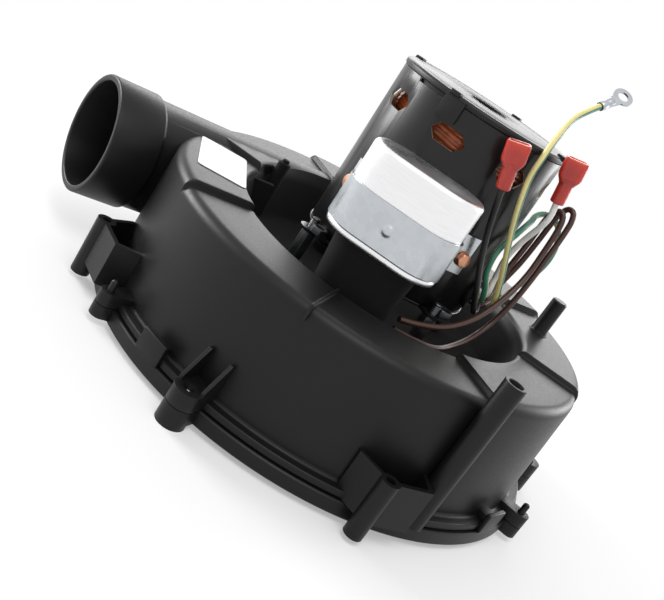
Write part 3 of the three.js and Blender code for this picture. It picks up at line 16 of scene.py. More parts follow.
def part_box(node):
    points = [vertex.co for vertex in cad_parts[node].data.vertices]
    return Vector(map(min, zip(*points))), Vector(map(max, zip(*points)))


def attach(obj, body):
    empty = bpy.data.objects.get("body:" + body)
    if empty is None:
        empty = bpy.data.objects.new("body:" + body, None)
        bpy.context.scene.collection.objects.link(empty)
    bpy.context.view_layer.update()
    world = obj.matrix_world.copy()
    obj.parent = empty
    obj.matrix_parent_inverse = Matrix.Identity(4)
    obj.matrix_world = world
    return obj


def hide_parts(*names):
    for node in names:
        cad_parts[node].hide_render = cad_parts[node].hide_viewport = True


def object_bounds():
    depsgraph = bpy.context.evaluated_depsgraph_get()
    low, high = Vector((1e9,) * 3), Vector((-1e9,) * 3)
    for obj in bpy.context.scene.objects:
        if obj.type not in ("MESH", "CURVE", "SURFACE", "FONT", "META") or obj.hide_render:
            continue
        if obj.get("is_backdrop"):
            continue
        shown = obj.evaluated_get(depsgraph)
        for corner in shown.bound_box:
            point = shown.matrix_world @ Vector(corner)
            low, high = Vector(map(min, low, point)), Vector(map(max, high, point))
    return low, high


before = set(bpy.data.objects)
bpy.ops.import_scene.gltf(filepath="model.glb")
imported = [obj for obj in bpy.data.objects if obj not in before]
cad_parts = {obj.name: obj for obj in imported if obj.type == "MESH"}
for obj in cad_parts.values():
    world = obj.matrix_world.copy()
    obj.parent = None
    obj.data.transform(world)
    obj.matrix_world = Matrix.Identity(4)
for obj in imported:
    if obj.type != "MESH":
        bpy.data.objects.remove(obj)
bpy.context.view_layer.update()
shaft_low, shaft_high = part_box("motor_shaft")
AXIS = np.array([(shaft_low.x + shaft_high.x) / 2, (shaft_low.y + shaft_high.y) / 2, 0.0])
MILLIMETRES = 1000
print("CAD nodes:", len(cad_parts), "motor axis at", AXIS.round(4))


def place(points):
    """Millimetres about the motor axis, divided into metres and moved to the axis."""
    return np.asarray(points, float) / MILLIMETRES + AXIS


def polar(radius, degrees, level=0.0):
    """The point (r cos a, r sin a, level)."""
    angle = math.radians(degrees)
    return np.array([radius * math.cos(angle), radius * math.sin(angle), level])


# %% [markdown]
# ## Camera
# The photograph was taken from 18 degrees above, with the fan turned 33.5 degrees in the picture.
# A Track To constraint could aim a camera, but not roll it, so three directions make its matrix.

# %% Camera
ROLL = math.radians(33.5)
HEADING = math.radians(-38.86)
PITCH = math.radians(18.39)
EYE = [-285.04, -336.37, 184.70]
SENSOR_WIDTH = 36.0
LENS = 51.83
forward = np.array([-math.sin(HEADING) * math.cos(PITCH), math.cos(HEADING) * math.cos(PITCH),
                    -math.sin(PITCH)])
level_right = np.array([math.cos(HEADING), math.sin(HEADING), 0.0])
upward = np.cross(level_right, forward)
camera_right = math.cos(ROLL) * level_right + math.sin(ROLL) * upward
camera_up = -math.sin(ROLL) * level_right + math.cos(ROLL) * upward
camera_data = bpy.data.cameras.new("photo_camera")
camera_data.sensor_width = SENSOR_WIDTH
camera_data.lens = LENS
camera_data.clip_start = 0.01
camera = bpy.data.objects.new("photo_camera", camera_data)
bpy.context.scene.collection.objects.link(camera)
columns = np.array([camera_right, camera_up, -forward, place(EYE)]).T
camera.matrix_world = Matrix([*columns.tolist(), (0, 0, 0, 1)])
bpy.context.scene.camera = camera
print("Camera", round(float(np.linalg.norm(EYE))), "mm from the foot of the motor axis")


# %% [markdown]
# ## Shape tools
# Most of the fan is turned, extruded or moulded, so a few tools make nearly all of it.
# The Screw and Solidify modifiers could do the same, one object at a time.
# Here a solid is only a pair, an array of points and a list of faces, which is quick to turn and to join.

# %% Nets and turned solids
def grid(points, wrap_u=False, wrap_v=False):
    """Faces over a net of points, shape (u, v, 3): each joins (i, j), (i+1, j), (i+1, j+1) and (i, j+1)."""
    points = np.asarray(points, float)
    nu, nv = points.shape[:2]
    i = np.arange(nu if wrap_u else nu - 1)[:, None]
    j = np.arange(nv if wrap_v else nv - 1)[None, :]
    next_i, next_j = (i + 1) % nu, (j + 1) % nv
    faces = np.stack([i * nv + j, next_i * nv + j, next_i * nv + next_j, i * nv + next_j], axis=2)
    return points.reshape(-1, 3), [tuple(face) for face in faces.reshape(-1, 4).tolist()]


def lathe(profile, segments=96):
    """(r cos t, r sin t, z) for each pair (r, z). An open profile must start and end on the axis."""
    r, z = np.array([tuple(pair) for pair in profile], float).T
    on_axis = r[0] == 0 and r[-1] == 0
    turn = np.linspace(0, 2 * math.pi, segments, endpoint=False)
    levels = np.broadcast_to(z, (segments, len(z)))
    net = np.stack([np.cos(turn)[:, None] * r, np.sin(turn)[:, None] * r, levels], axis=2)
    return grid(net, wrap_u=True, wrap_v=not on_axis)


# %% Straight solids
def extrude(outline, bottom, top):
    """A flat outline at two levels, with sides between them."""
    outline = np.asarray(outline, float)
    n = len(outline)
    low = np.column_stack([outline, np.full(n, bottom)])
    high = np.column_stack([outline, np.full(n, top)])
    faces = [tuple(range(n))[::-1], tuple(range(n, 2 * n))]
    faces += [(i, (i + 1) % n, (i + 1) % n + n, i + n) for i in range(n)]
    return np.vstack([low, high]), faces


def rod(radius, bottom, top, centre=(0.0, 0.0), segments=32):
    """An extruded circle: centre + r (cos t, sin t)."""
    turn = np.linspace(0, 2 * math.pi, segments, endpoint=False)
    ring = np.column_stack([radius * np.cos(turn) + centre[0], radius * np.sin(turn) + centre[1]])
    return extrude(ring, bottom, top)


def block(low, high):
    """A box between two opposite corners."""
    (x0, y0, z0), (x1, y1, z1) = low, high
    return extrude([(x0, y0), (x1, y0), (x1, y1), (x0, y1)], z0, z1)


# %% Moving and joining solids
def moved(solid, matrix):
    """Every point p becomes R p + t."""
    points, faces = solid
    matrix = np.array(matrix)
    return points @ matrix[:3, :3].T + matrix[:3, 3], faces


def turned(solid, degrees):
    """Turns a solid about the motor axis."""
    return moved(solid, Matrix.Rotation(math.radians(degrees), 4, "Z"))


def merged(*solids):
    """Puts solids side by side in one, each one's face numbers raised by the points before it."""
    points, faces, count = [], [], 0
    for p, f in solids:
        points.append(p)
        faces += [tuple(i + count for i in face) for face in f]
        count += len(p)
    return np.vstack(points), faces


def arc(radius, start, end, steps, centre=(0.0, 0.0)):
    """Points centre + r (cos a, sin a) from one angle to another, both included."""
    angles = np.radians(np.linspace(start, end, steps + 1))
    return [(centre[0] + radius * math.cos(a), centre[1] + radius * math.sin(a)) for a in angles]


# %% Curved routes
def smooth_path(points, spacing):
    """Even points on a curve through all the given ones, its knots growing with the root of each gap."""
    p = np.asarray(points, float)
    p = np.vstack([2 * p[0] - p[1], p, 2 * p[-1] - p[-2]])
    dense = []
    for i in range(1, len(p) - 2):
        a, b, c, d = p[i - 1:i + 3]
        t = np.cumsum([0] + [np.linalg.norm(v) ** 0.5 for v in (b - a, c - b, d - c)])
        s = np.linspace(t[1], t[2], 24, endpoint=False)[:, None]
        ab = (t[1] - s) / (t[1] - t[0]) * a + (s - t[0]) / (t[1] - t[0]) * b
        bc = (t[2] - s) / (t[2] - t[1]) * b + (s - t[1]) / (t[2] - t[1]) * c
        cd = (t[3] - s) / (t[3] - t[2]) * c + (s - t[2]) / (t[3] - t[2]) * d
        abc = (t[2] - s) / (t[2] - t[0]) * ab + (s - t[0]) / (t[2] - t[0]) * bc
        bcd = (t[3] - s) / (t[3] - t[1]) * bc + (s - t[1]) / (t[3] - t[1]) * cd
        dense.append((t[2] - s) / (t[2] - t[1]) * abc + (s - t[1]) / (t[2] - t[1]) * bcd)
    dense = np.vstack(dense + [p[-2:-1]])
    along = np.concatenate([[0], np.cumsum(np.linalg.norm(np.diff(dense, axis=0), axis=1))])
    wanted = np.linspace(0, along[-1], max(int(along[-1] / spacing), 2) + 1)
    return np.column_stack([np.interp(wanted, along, dense[:, k]) for k in range(3)])


def along_frames(path):
    """Two cross directions at each point, carried along so that they don't twist round the path."""
    tangent = np.gradient(path, axis=0)
    tangent /= np.linalg.norm(tangent, axis=1)[:, None]
    side = np.cross(tangent[0], [0.31, 0.2, 0.93])
    sides = []
    for t in tangent:
        side = side - t * side.dot(t)
        side /= np.linalg.norm(side)
        sides.append(side)
    sides = np.array(sides)
    return sides, np.cross(tangent, sides)


def tube(path, radius, sides=16):
    """Circles path + r (a cos t + b sin t) joined along the path, with flat ends."""
    a, b = along_frames(path)
    turn = np.linspace(0, 2 * math.pi, sides, endpoint=False)
    circle = np.cos(turn)[None, :, None] * a[:, None] + np.sin(turn)[None, :, None] * b[:, None]
    points, faces = grid(path[:, None] + radius * circle, wrap_v=True)
    n = len(points)
    return points, faces + [tuple(range(sides)), tuple(range(n - sides, n))[::-1]]


# %% [markdown]
# ## From solids to pieces
# Moulded plastic has no knife edges: a small Bevel on many of the pieces catches the light as the real one
# does.
# Modifiers are applied at once, because a live Boolean or Bevel would cost time at each look at the scene.

# %% Meshes
def mesh_of(name, solid, smooth=35.0):
    """A mesh in place, its doubles merged and its faces turned outwards."""
    points, faces = solid
    mesh = bpy.data.meshes.new(name)
    mesh.from_pydata(place(points).tolist(), [], faces)
    work = bmesh.new()
    work.from_mesh(mesh)
    bmesh.ops.remove_doubles(work, verts=work.verts, dist=1e-6)
    bmesh.ops.dissolve_degenerate(work, edges=work.edges, dist=1e-7)
    bmesh.ops.recalc_face_normals(work, faces=work.faces)
    work.to_mesh(mesh)
    work.free()
    return smoothed(mesh, smooth)


def smoothed(mesh, degrees):
    """Smooth shading, with an edge kept sharp where its faces turn by more than the angle."""
    mesh.polygons.foreach_set("use_smooth", [True] * len(mesh.polygons))
    mesh.set_sharp_from_angle(angle=math.radians(degrees))
    return mesh


def loose(name, solid, smooth=35.0):
    """An object at the origin with the solid's mesh."""
    obj = bpy.data.objects.new(name, mesh_of(name, solid, smooth))
    bpy.context.scene.collection.objects.link(obj)
    return obj


def bake(obj):
    """Applies an object's modifiers."""
    graph = bpy.context.evaluated_depsgraph_get()
    mesh = bpy.data.meshes.new_from_object(obj.evaluated_get(graph))
    old = obj.data
    obj.modifiers.clear()
    obj.data = smoothed(mesh, 35.0)
    bpy.data.meshes.remove(old)


# %% Boolean and Bevel
def carve(obj, solids, operation="DIFFERENCE"):
    """Cuts solids out of an object, or joins them to it."""
    tools = [loose(f"{obj.name}_tool_{i}", solid) for i, solid in enumerate(solids)]
    for tool in tools:
        cutter = obj.modifiers.new("carve", "BOOLEAN")
        cutter.operation = operation
        cutter.object = tool
        cutter.solver = "EXACT"
    bake(obj)
    for tool in tools:
        mesh = tool.data
        bpy.data.objects.remove(tool)
        bpy.data.meshes.remove(mesh)


def soften(obj, width, segments, angle):
    """Rounds an object's edges by a width in millimetres."""
    rounder = obj.modifiers.new("soften", "BEVEL")
    rounder.width = width / MILLIMETRES
    rounder.segments = segments
    rounder.limit_method = "ANGLE"
    rounder.angle_limit = math.radians(angle)
    rounder.use_clamp_overlap = True
    bake(obj)


def shaped(solid, adds=(), cuts=(), common=None, edge=0.0, segments=2, angle=40.0):
    """Joins, cuts or intersects solids, rounds the edges and gives the points and faces back."""
    work = loose("work", solid)
    if adds:
        carve(work, adds, "UNION")
    if cuts:
        carve(work, cuts)
    if common:
        carve(work, [common], "INTERSECT")
    if edge:
        soften(work, edge, segments, angle)
    mesh = work.data
    points = np.empty(3 * len(mesh.vertices))
    mesh.vertices.foreach_get("co", points)
    faces = [tuple(face.vertices) for face in mesh.polygons]
    bpy.data.objects.remove(work)
    bpy.data.meshes.remove(mesh)
    return (points.reshape(-1, 3) - AXIS) * MILLIMETRES, faces


# %% Pieces
def piece(obj, material, body="housing", replaces=()):
    """Paints an object, fixes it to its body and lets it stand for its CAD nodes."""
    obj.data.materials.clear()
    obj.data.materials.append(material)
    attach(obj, body)
    if replaces:
        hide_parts(*replaces)
    print(obj.name, len(obj.data.polygons), "faces on the", body)
    return obj

# %% [markdown]
# ## Materials
# The fan is nearly all black, so its finishes differ by gloss: satin moulding, painted steel, dull rubber.
# Image textures could show that, but they would have to be unwrapped on every piece.
# Noise in object space needs no unwrapping, and it runs on without a seam from one face to the next.

# %% Tools for node trees
class Paint:
    """One material with its node tree, patterned in object space, in metres."""

    def __init__(self, name):
        """Starts from the Principled shader; where is a point's place in object space."""
        self.material = bpy.data.materials.new(name)
        self.material.use_nodes = True
        self.tree = self.material.node_tree
        self.shader = self.tree.nodes["Principled BSDF"]
        self.where = self.tree.nodes.new("ShaderNodeTexCoord").outputs["Object"]

    def connect(self, socket, value):
        """Links a socket to another one, or sets it to a plain value."""
        if isinstance(value, bpy.types.NodeSocket):
            self.tree.links.new(value, socket)
        else:
            socket.default_value = value

    def set(self, **values):
        """Sets the shader's inputs, written with _ for a space."""
        for name, value in values.items():
            self.connect(self.shader.inputs[name.replace("_", " ")], value)
        return self

    def node(self, kind, values=(), **settings):
        """Adds a node with its settings, and links or sets its inputs."""
        node = self.tree.nodes.new("ShaderNode" + kind)
        for name, value in settings.items():
            setattr(node, name, value)
        for key, value in dict(values).items():
            self.connect(node.inputs[key], value)
        return node

    def noise(self, scale, detail=2.0, rough=0.5, where=None):
        """Fractal noise with so many waves to a metre."""
        return self.node("TexNoise", {"Vector": where or self.where, "Scale": scale, "Detail": detail,
                                      "Roughness": rough}).outputs["Fac"]

    def stretched(self, x, y, z):
        """Object space times a factor along each axis."""
        return self.node("Mapping", {"Vector": self.where, "Scale": (x, y, z)}).outputs["Vector"]

    def span(self, value, low, high, to_low, to_high):
        """Maps low..high onto to_low..to_high."""
        return self.node("MapRange", {"Value": value, "From Min": low, "From Max": high,
                                      "To Min": to_low, "To Max": to_high}).outputs["Result"]

    def clouded(self, noise, low=0.0, high=1.0):
        """Spreads the narrow middle band that a noise texture fills."""
        return self.span(noise, 0.3, 0.7, low, high)

    def math(self, operation, first, second):
        """One sum, product or comparison of two values."""
        return self.node("Math", {0: first, 1: second}, operation=operation).outputs[0]

    def mix(self, amount, first, second):
        """The first colour at 0 and the second at 1; inputs 6 and 7 are the Mix node's colours."""
        return self.node("Mix", {0: amount, 6: first, 7: second}, data_type="RGBA").outputs[2]

    def from_axis(self):
        """A point's distance from the motor axis: the length of its place with the height taken out."""
        aside = self.node("VectorMath", {0: self.where, 1: tuple(AXIS)}, operation="SUBTRACT").outputs[0]
        flat = self.node("VectorMath", {0: aside, 1: (1, 1, 0)}, operation="MULTIPLY").outputs[0]
        return self.node("VectorMath", {0: flat}, operation="LENGTH").outputs["Value"]

    def bump(self, height, strength, distance):
        """Tilts the normal as if the surface rose by the height times the distance."""
        return self.node("Bump", {"Height": height, "Strength": strength, "Distance": distance}).outputs[0]


def colour(red, green, blue):
    """An opaque colour, in light and not in screen values."""
    return (red, green, blue, 1.0)


def grey(tone, cast=1.0):
    """A grey with its blue raised or lowered by a cast."""
    return colour(tone, tone, tone * cast)


# %% [markdown]
# ### Black finishes
# Moulded plastic has a fine spark grain from its tool and a few pale scuffs, and the well is duller.
# Paint on sheet steel is smoother, with orange peel, and is pale beige inside the can and on each window's
# punched faces: partly the uncoated edge, partly a painted highlight where those edges catch light.
# Both follow the distance from the motor axis there, which is simpler than a second material.

# %% Moulded plastic
DULL_BLEND = 0.002


def moulded(name, tone, roughness, grain=0.00003, dull_within=0.0):
    """A cloudy black with pale scuffs over it, whose roughness and bump follow one fine noise.

    Inside the radius dull_within, in millimetres, the mould was left rough.
    """
    p = Paint(name)
    cloud = p.noise(18, 3)
    fine = p.noise(900, 4, 0.6)
    scuff = p.noise(60, 6, 0.7, p.stretched(1, 1, 4))
    dark = colour(tone * 0.85, tone * 0.86, tone * 0.88)
    base = p.mix(p.clouded(cloud), dark, grey(tone * 1.2, 1.22 / 1.2))
    base = p.mix(p.span(scuff, 0.62, 0.8, 0, 0.3), base, grey(tone * 3))
    rough = p.span(fine, 0.25, 0.75, roughness - 0.05, roughness + 0.06)
    if dull_within:
        edge = dull_within / MILLIMETRES
        rough = p.math("MAXIMUM", rough, p.span(p.from_axis(), edge, edge + DULL_BLEND, 0.9, 0))
    return p.set(Base_Color=base, Roughness=rough, Normal=p.bump(fine, 0.35, grain),
                 Specular_IOR_Level=0.26).material


# %% Paint and rubber
CUT_BLEND = 0.00008
# Pale beige for the uncoated sheet edge, lightened as a painted highlight where the punched edges catch
# light.
BARE_EDGE_HIGHLIGHT = colour(0.42, 0.38, 0.3)


def painted(name, tone, roughness, coat, bare_edge_highlight_within=None):
    """A cloudy black under a thin clear coat, bumped by a coarse noise for its orange peel.

    Inside the given radius, in millimetres, the can's inner side and punched faces are a pale beige: partly
    the uncoated sheet edge, partly a painted highlight where those edges catch light.
    """
    p = Paint(name)
    peel = p.noise(260, 3)
    cloud = p.noise(25, 3)
    base = p.mix(p.clouded(cloud), grey(tone), grey(tone * 1.6, 1.65 / 1.6))
    if bare_edge_highlight_within:
        edge = bare_edge_highlight_within / MILLIMETRES
        base = p.mix(p.span(p.from_axis(), edge - CUT_BLEND, edge, 1, 0), base, BARE_EDGE_HIGHLIGHT)
    rough = p.clouded(cloud, roughness - 0.06, roughness + 0.08)
    return p.set(Base_Color=base, Roughness=rough, Normal=p.bump(peel, 0.1, 0.0001), Specular_IOR_Level=0.3,
                 Coat_Weight=coat, Coat_Roughness=0.15).material


def rubber(name, tone=0.005):
    """Dull rubber: a bloom up to 1.9 times the tone comes and goes with a noise."""
    p = Paint(name)
    base = p.mix(p.clouded(p.noise(40, 4)), grey(tone), grey(tone * 1.9))
    return p.set(Base_Color=base, Roughness=0.72, Normal=p.bump(p.noise(700, 4), 0.3, 0.00006),
                 Specular_IOR_Level=0.2).material


# %% [markdown]
# ### Metals and insulation
# Turned and drawn metal has fine lines along its working direction, made by noise stretched in space.
# Zinc from a hot bath freezes in crystals, so the strap takes its tones from a pattern of random cells.

# %% Metals
def bare_metal(name, tone, roughness, grain=(1, 1, 30), streak=0.25):
    """Metal whose streaks are noise stretched by the grain, darker by the share streak at their darkest."""
    p = Paint(name)
    lines = p.noise(160, 5, 0.7, p.stretched(*grain))
    base = p.mix(p.clouded(lines), colour(*(c * (1 - streak) for c in tone)), colour(*tone))
    rough = p.clouded(p.noise(40, 3), roughness - 0.07, roughness + 0.1)
    return p.set(Base_Color=base, Metallic=1.0, Roughness=rough, Normal=p.bump(lines, 0.1, 0.0001)).material


def galvanised(name):
    """Zinc in crystals: each random cell has its own tone."""
    p = Paint(name)
    spangle = p.node("TexVoronoi", {"Vector": p.where, "Scale": 320}).outputs["Color"]
    shade = p.node("RGBToBW", {"Color": spangle}).outputs[0]
    cloud = p.noise(70, 4, 0.6)
    base = p.mix(p.span(shade, 0.1, 0.9, 0, 1), colour(0.51, 0.535, 0.56), colour(0.56, 0.585, 0.61))
    return p.set(Base_Color=base, Metallic=1.0, Roughness=p.clouded(cloud, 0.22, 0.42),
                 Normal=p.bump(cloud, 0.08, 0.0003)).material


# %% Insulation, film and nylon
def insulation(name, tone, roughness=0.38):
    """Coloured plastic that a faint cloud darkens to 0.78 of its tone."""
    p = Paint(name)
    base = p.mix(p.clouded(p.noise(120, 4, 0.6)), colour(*(c * 0.78 for c in tone)), colour(*tone))
    return p.set(Base_Color=base, Roughness=roughness, Normal=p.bump(p.noise(500, 3), 0.12, 0.00005)).material


def striped_insulation(name):
    """Yellow where the mesh's own band layer is 0 and green where it is 1, with a faint cloud over both."""
    p = Paint(name)
    band = p.node("Attribute", attribute_name="band", attribute_type="GEOMETRY").outputs["Fac"]
    base = p.mix(p.math("GREATER_THAN", band, 0.5), colour(0.8, 0.7, 0.3), colour(0.03, 0.2, 0.14))
    base = p.mix(p.clouded(p.noise(120, 4, 0.6), 0, 0.12), base, colour(0.3, 0.28, 0.1))
    return p.set(Base_Color=base, Roughness=0.4).material


# %% The black materials
PLASTIC_TONE = 0.0055
WELL_EDGE = 74.6
SHEET_EDGE = 41.7
scroll_plastic = moulded("scroll_plastic", PLASTIC_TONE, roughness=0.42, dull_within=WELL_EDGE)
cover_plastic = moulded("cover_plastic", PLASTIC_TONE, roughness=0.42)
wheel_plastic = moulded("wheel_plastic", tone=0.012, roughness=0.5)
black_paint = painted("black_paint", tone=0.0035, roughness=0.3, coat=0.1)
can_paint = painted("can_paint", tone=0.0035, roughness=0.32, coat=0.08, bare_edge_highlight_within=SHEET_EDGE)
cap_paint = painted("cap_paint", tone=0.004, roughness=0.42, coat=0.0)
black_rubber = rubber("black_rubber")

# %% The metals
EVEN = (1, 1, 1)
zinc = bare_metal("zinc_plate", (0.5, 0.52, 0.55), roughness=0.34, grain=EVEN, streak=0.15)
# A darker copy of the zinc plate for the standoffs and nuts down in the well: its low tone is painted shade.
zinc_with_painted_shade = bare_metal("zinc_with_painted_shade", (0.13, 0.135, 0.14), roughness=0.42, grain=EVEN, streak=0.3)
steel = bare_metal("turned_steel", (0.6, 0.6, 0.6), roughness=0.25, grain=(1, 1, 20), streak=0.2)
dark_steel = bare_metal("dark_steel", (0.16, 0.16, 0.17), roughness=0.42, grain=(1, 1, 60), streak=0.5)
bronze = bare_metal("sintered_bronze", (0.5, 0.26, 0.14), roughness=0.4, grain=EVEN, streak=0.3)
copper = bare_metal("copper", (0.72, 0.36, 0.22), roughness=0.3, grain=EVEN, streak=0.3)
aluminium = bare_metal("drawn_aluminium", (0.9, 0.9, 0.91), roughness=0.3, grain=(0.6, 0.6, 8), streak=0.06)
strap_metal = galvanised("galvanised_sheet")

# %% The insulation, film and nylon
copper_wire = insulation("enamelled_copper", (0.4, 0.09, 0.026), 0.3)
foam = rubber("gasket_foam", 0.03)
white_film = insulation("label_film", (0.86, 0.86, 0.84), 0.45)
white_wire = insulation("white_insulation", (0.82, 0.82, 0.8))
brown_wire = insulation("brown_insulation", (0.06, 0.022, 0.014))
black_wire = insulation("black_insulation", (0.006, 0.006, 0.007), 0.55)
ground_wire = striped_insulation("green_yellow_insulation")
red_nylon = insulation("red_nylon", (0.52, 0.035, 0.024), 0.3)
red_nylon.node_tree.nodes["Principled BSDF"].inputs["Subsurface Weight"].default_value = 0.25
oil_felt = insulation("oil_felt", (0.4, 0.035, 0.02), 0.9)
print(len(bpy.data.materials), "materials")

# %% [markdown]
# ## Leads
# Five stiff leads leave a rubber bushing low on the can, and each was pushed by hand into its own bend.
# Curve objects with a bevel would draw them, but their ends and stripes are easier to control in a mesh.
# So each is a tube along a smooth route through measured points, and it starts square to the bushing's face.
# The points repeat the CAD routes, with a rounder fold at the top of the brown pair.

# %% Routes of the leads
BUSHING = 305.0
BUSHING_LEVEL = 82.0
LEAD_RADIUS = 1.4
LEADS_IN_BUSHING = 3.1
BUSHING_FACE = 44.1
STRAIGHT_START = 4
ROUTE_SPACING = 1.2
routes = {
    "white": [(29.5, -36.5, 93), (26, -38, 104.5), (24.5, -41.5, 115.5), (22.4, -48.3, 131),
              (21, -48, 138.5)],
    "brown_inner": [(34.5, -34.5, 89), (39, -30.5, 99), (41, -29.5, 113), (40.9, -29.6, 125),
                    (41.2, -30.3, 130.5), (42, -32.2, 133.4), (42.9, -34.7, 133.2), (43.5, -36.4, 130),
                    (43.9, -37.2, 124), (44, -37.8, 115), (42, -40, 104), (36.5, -43.5, 94),
                    (27.5, -48, 84.5), (16.5, -52, 76),
                    (2.5, -54.5, 69.5), (-11.5, -54, 66.5), (-21.5, -54, 66)],
    "brown_outer": [(35.5, -35.5, 82.5), (40.5, -31, 91), (44.5, -29.5, 103), (45.5, -29.5, 117),
                    (45.7, -29.7, 127), (46, -30.5, 133), (46.6, -32.4, 136.3), (47.4, -35, 136.2),
                    (47.9, -36.8, 133), (48.1, -37.6, 126), (48, -38, 115), (47, -39, 100), (44.5, -40, 85),
                    (40, -41, 73), (30.5, -45, 65), (19, -50, 61), (3, -56.5, 59.5), (-10.5, -56, 60),
                    (-20.5, -53, 60.5)],
    "black": [(21.5, -45.5, 78), (15, -49, 83), (10, -50, 90), (4, -48.5, 101), (-3, -47.5, 116.5),
              (-9.4, -48.8, 129.5), (-10.5, -48.5, 133.5)],
    "ground": [(21.5, -43, 89), (16, -43, 97), (14, -43, 107), (21, -39.5, 117), (32.5, -31, 123),
               (38.5, -26, 126), (45.5, -24.5, 128), (50.5, -28, 127), (53, -32.5, 121), (53, -35, 112),
               (51.5, -34.5, 102), (48.5, -33, 93), (43.5, -34.5, 84), (38, -38, 79.5), (33.5, -42, 81.5),
               (29, -44, 89), (22, -45.5, 100), (13, -46.5, 114), (5.5, -46.5, 129), (1.5, -45.5, 143),
               (1.5, -45, 152), (5, -41.5, 161), (16.5, -31.5, 171), (25, -28, 177.5), (30, -26.5, 181)],
}


def lead_start(number):
    """Two points square to the bushing's face, the leads spread evenly round its middle."""
    outward = polar(1, BUSHING)
    aside = polar(1, BUSHING + 90)
    turn = number * 2 * math.pi / len(routes)
    start = outward * BUSHING_FACE + aside * LEADS_IN_BUSHING * math.sin(turn)
    start[2] = BUSHING_LEVEL + LEADS_IN_BUSHING * math.cos(turn)
    return [start, start + STRAIGHT_START * outward]


paths = {name: smooth_path(lead_start(i) + [np.array(point, float) for point in route], ROUTE_SPACING)
         for i, (name, route) in enumerate(routes.items())}

# %% Leads
LEAD_SIDES = 20
GREEN_SIDES = 7
wire_paint = {"white": (white_wire, "white_insulation"), "brown_inner": (brown_wire, "brown_insulation"),
              "brown_outer": (brown_wire, "brown_insulation"), "black": (black_wire, "black_insulation"),
              "ground": (ground_wire, "green_yellow_insulation")}
for name, path in paths.items():
    lead = loose(f"wire_{name}", tube(path, LEAD_RADIUS, LEAD_SIDES), 50)
    if name == "ground":
        side = np.arange(len(lead.data.polygons)) % LEAD_SIDES
        on_tube = np.arange(len(side)) < (len(path) - 1) * LEAD_SIDES
        band = lead.data.attributes.new("band", "FLOAT", "FACE")
        band.data.foreach_set("value", ((side < GREEN_SIDES) & on_tube).astype(float))
    material, slot_name = wire_paint[name]
    piece(lead, material, replaces=[f"lead_{name}"])

# %% [markdown]
# ## Scroll housing
# The real housing is one moulding: a scroll round the wheel that runs out into a pipe.
# Sculpting or subdivision would give soft shapes, but here the radii and the levels were measured.
# So the skin is a net: at each angle it has the same profile, raised to that angle's level.
# The top climbs in steps, and a shallow groove lies at the foot of two of them.

# %% Sizes of the scroll
PARTING = 9.4
SCROLL = 110.6
WALL = 2.8
FLOOR = 46.0
WELL_FLOOR = 70.0
WELL_TOP = 75.0
FRONT = 67.8
RISE = 2.63
TOP_FILLET = 5.0
RIM_FILLET = 2.4
FLOOR_FILLET = 3.0
DRAFT = math.tan(math.radians(1))
LOWEST = 223.0
STEP_WIDTH = 0.5
GROOVE_DEPTH = 0.9
GROOVE_WIDTH = 0.55
GROOVE_ASIDE = 0.35
steps = [(268, 1), (313, 1), (358, 1), (88, -1), (133, -1), (178, -1)]
grooves = [133, 178]


def scroll_at(level):
    """The wall's radius, which the draft makes smaller with the level."""
    return SCROLL - (level - PARTING) * DRAFT


def well_at(level):
    """The well's radius, in proportion between its floor and the front."""
    return WELL_FLOOR + (level - FLOOR) * (WELL_TOP - WELL_FLOOR) / (FRONT - FLOOR)


def top_level(degrees):
    """The front's level, plus c^2 (3 - 2 c) rises at each step, minus a bell curve at each groove."""
    around = (degrees - LOWEST) % 360
    level = np.full(len(degrees), FRONT)
    for at, change in steps:
        climb = np.clip((around - (at - LOWEST) % 360) / STEP_WIDTH + 0.5, 0, 1)
        level += RISE * change * climb * climb * (3 - 2 * climb)
    for at in grooves:
        away = (around - (at - LOWEST) % 360 - GROOVE_ASIDE) / GROOVE_WIDTH
        level -= GROOVE_DEPTH * np.exp(-away * away)
    return level


# %% Skin and hollow
EVEN_GAP = 1.25
NEAR_STEP = 1.7
HOLLOW_ASIDE = 1.8


def angles_round():
    """Even angles, except near the steps, which have closer ones of their own."""
    after = np.array([0.15, 0.3, 0.45, 0.6, 0.8, 1.0, 1.3])
    near = np.concatenate([-after[::-1], [0], after])
    edges = np.array([at for at, change in steps])
    even = np.arange(0, 360, EVEN_GAP)
    apart = np.abs((even[:, None] - edges + 180) % 360 - 180).min(axis=1)
    return np.sort(np.concatenate([even[apart > NEAR_STEP], ((edges[:, None] + near) % 360).ravel()]))


def stepped(profile_at):
    """A net (r cos a, r sin a, z) whose profile of r and z changes with the angle a."""
    degrees = angles_round()
    profile = profile_at(degrees)
    r = np.column_stack([np.broadcast_to(pair[0], degrees.shape) for pair in profile])
    z = np.column_stack([np.broadcast_to(pair[1], degrees.shape) for pair in profile])
    angle = np.radians(degrees)[:, None]
    return grid(np.stack([r * np.cos(angle), r * np.sin(angle), z], axis=2), wrap_u=True)


def skin_profile(degrees):
    """Up the wall, over the fillet and the flat, and down into the well, at all angles at once."""
    level = top_level(degrees)
    outer = scroll_at(level) - TOP_FILLET
    rim = well_at(level) + RIM_FILLET
    wall = [(scroll_at(z), z) for z in np.linspace(PARTING, level - TOP_FILLET, 4)[:-1]]
    flat = [(r, level) for r in np.linspace(outer, rim, 5)[1:-1]]
    inner = [(well_at(z), z) for z in np.linspace(level - RIM_FILLET, FLOOR + FLOOR_FILLET, 4)[1:-1]]
    foot = well_at(FLOOR + FLOOR_FILLET) - FLOOR_FILLET
    return ([(0, PARTING)] + wall + arc(TOP_FILLET, 0, 90, 8, (outer, level - TOP_FILLET)) + flat
            + arc(RIM_FILLET, 90, 180, 6, (rim, level - RIM_FILLET)) + inner
            + arc(FLOOR_FILLET, 0, -90, 5, (foot, FLOOR + FLOOR_FILLET)) + [(40, FLOOR), (0, FLOOR)])


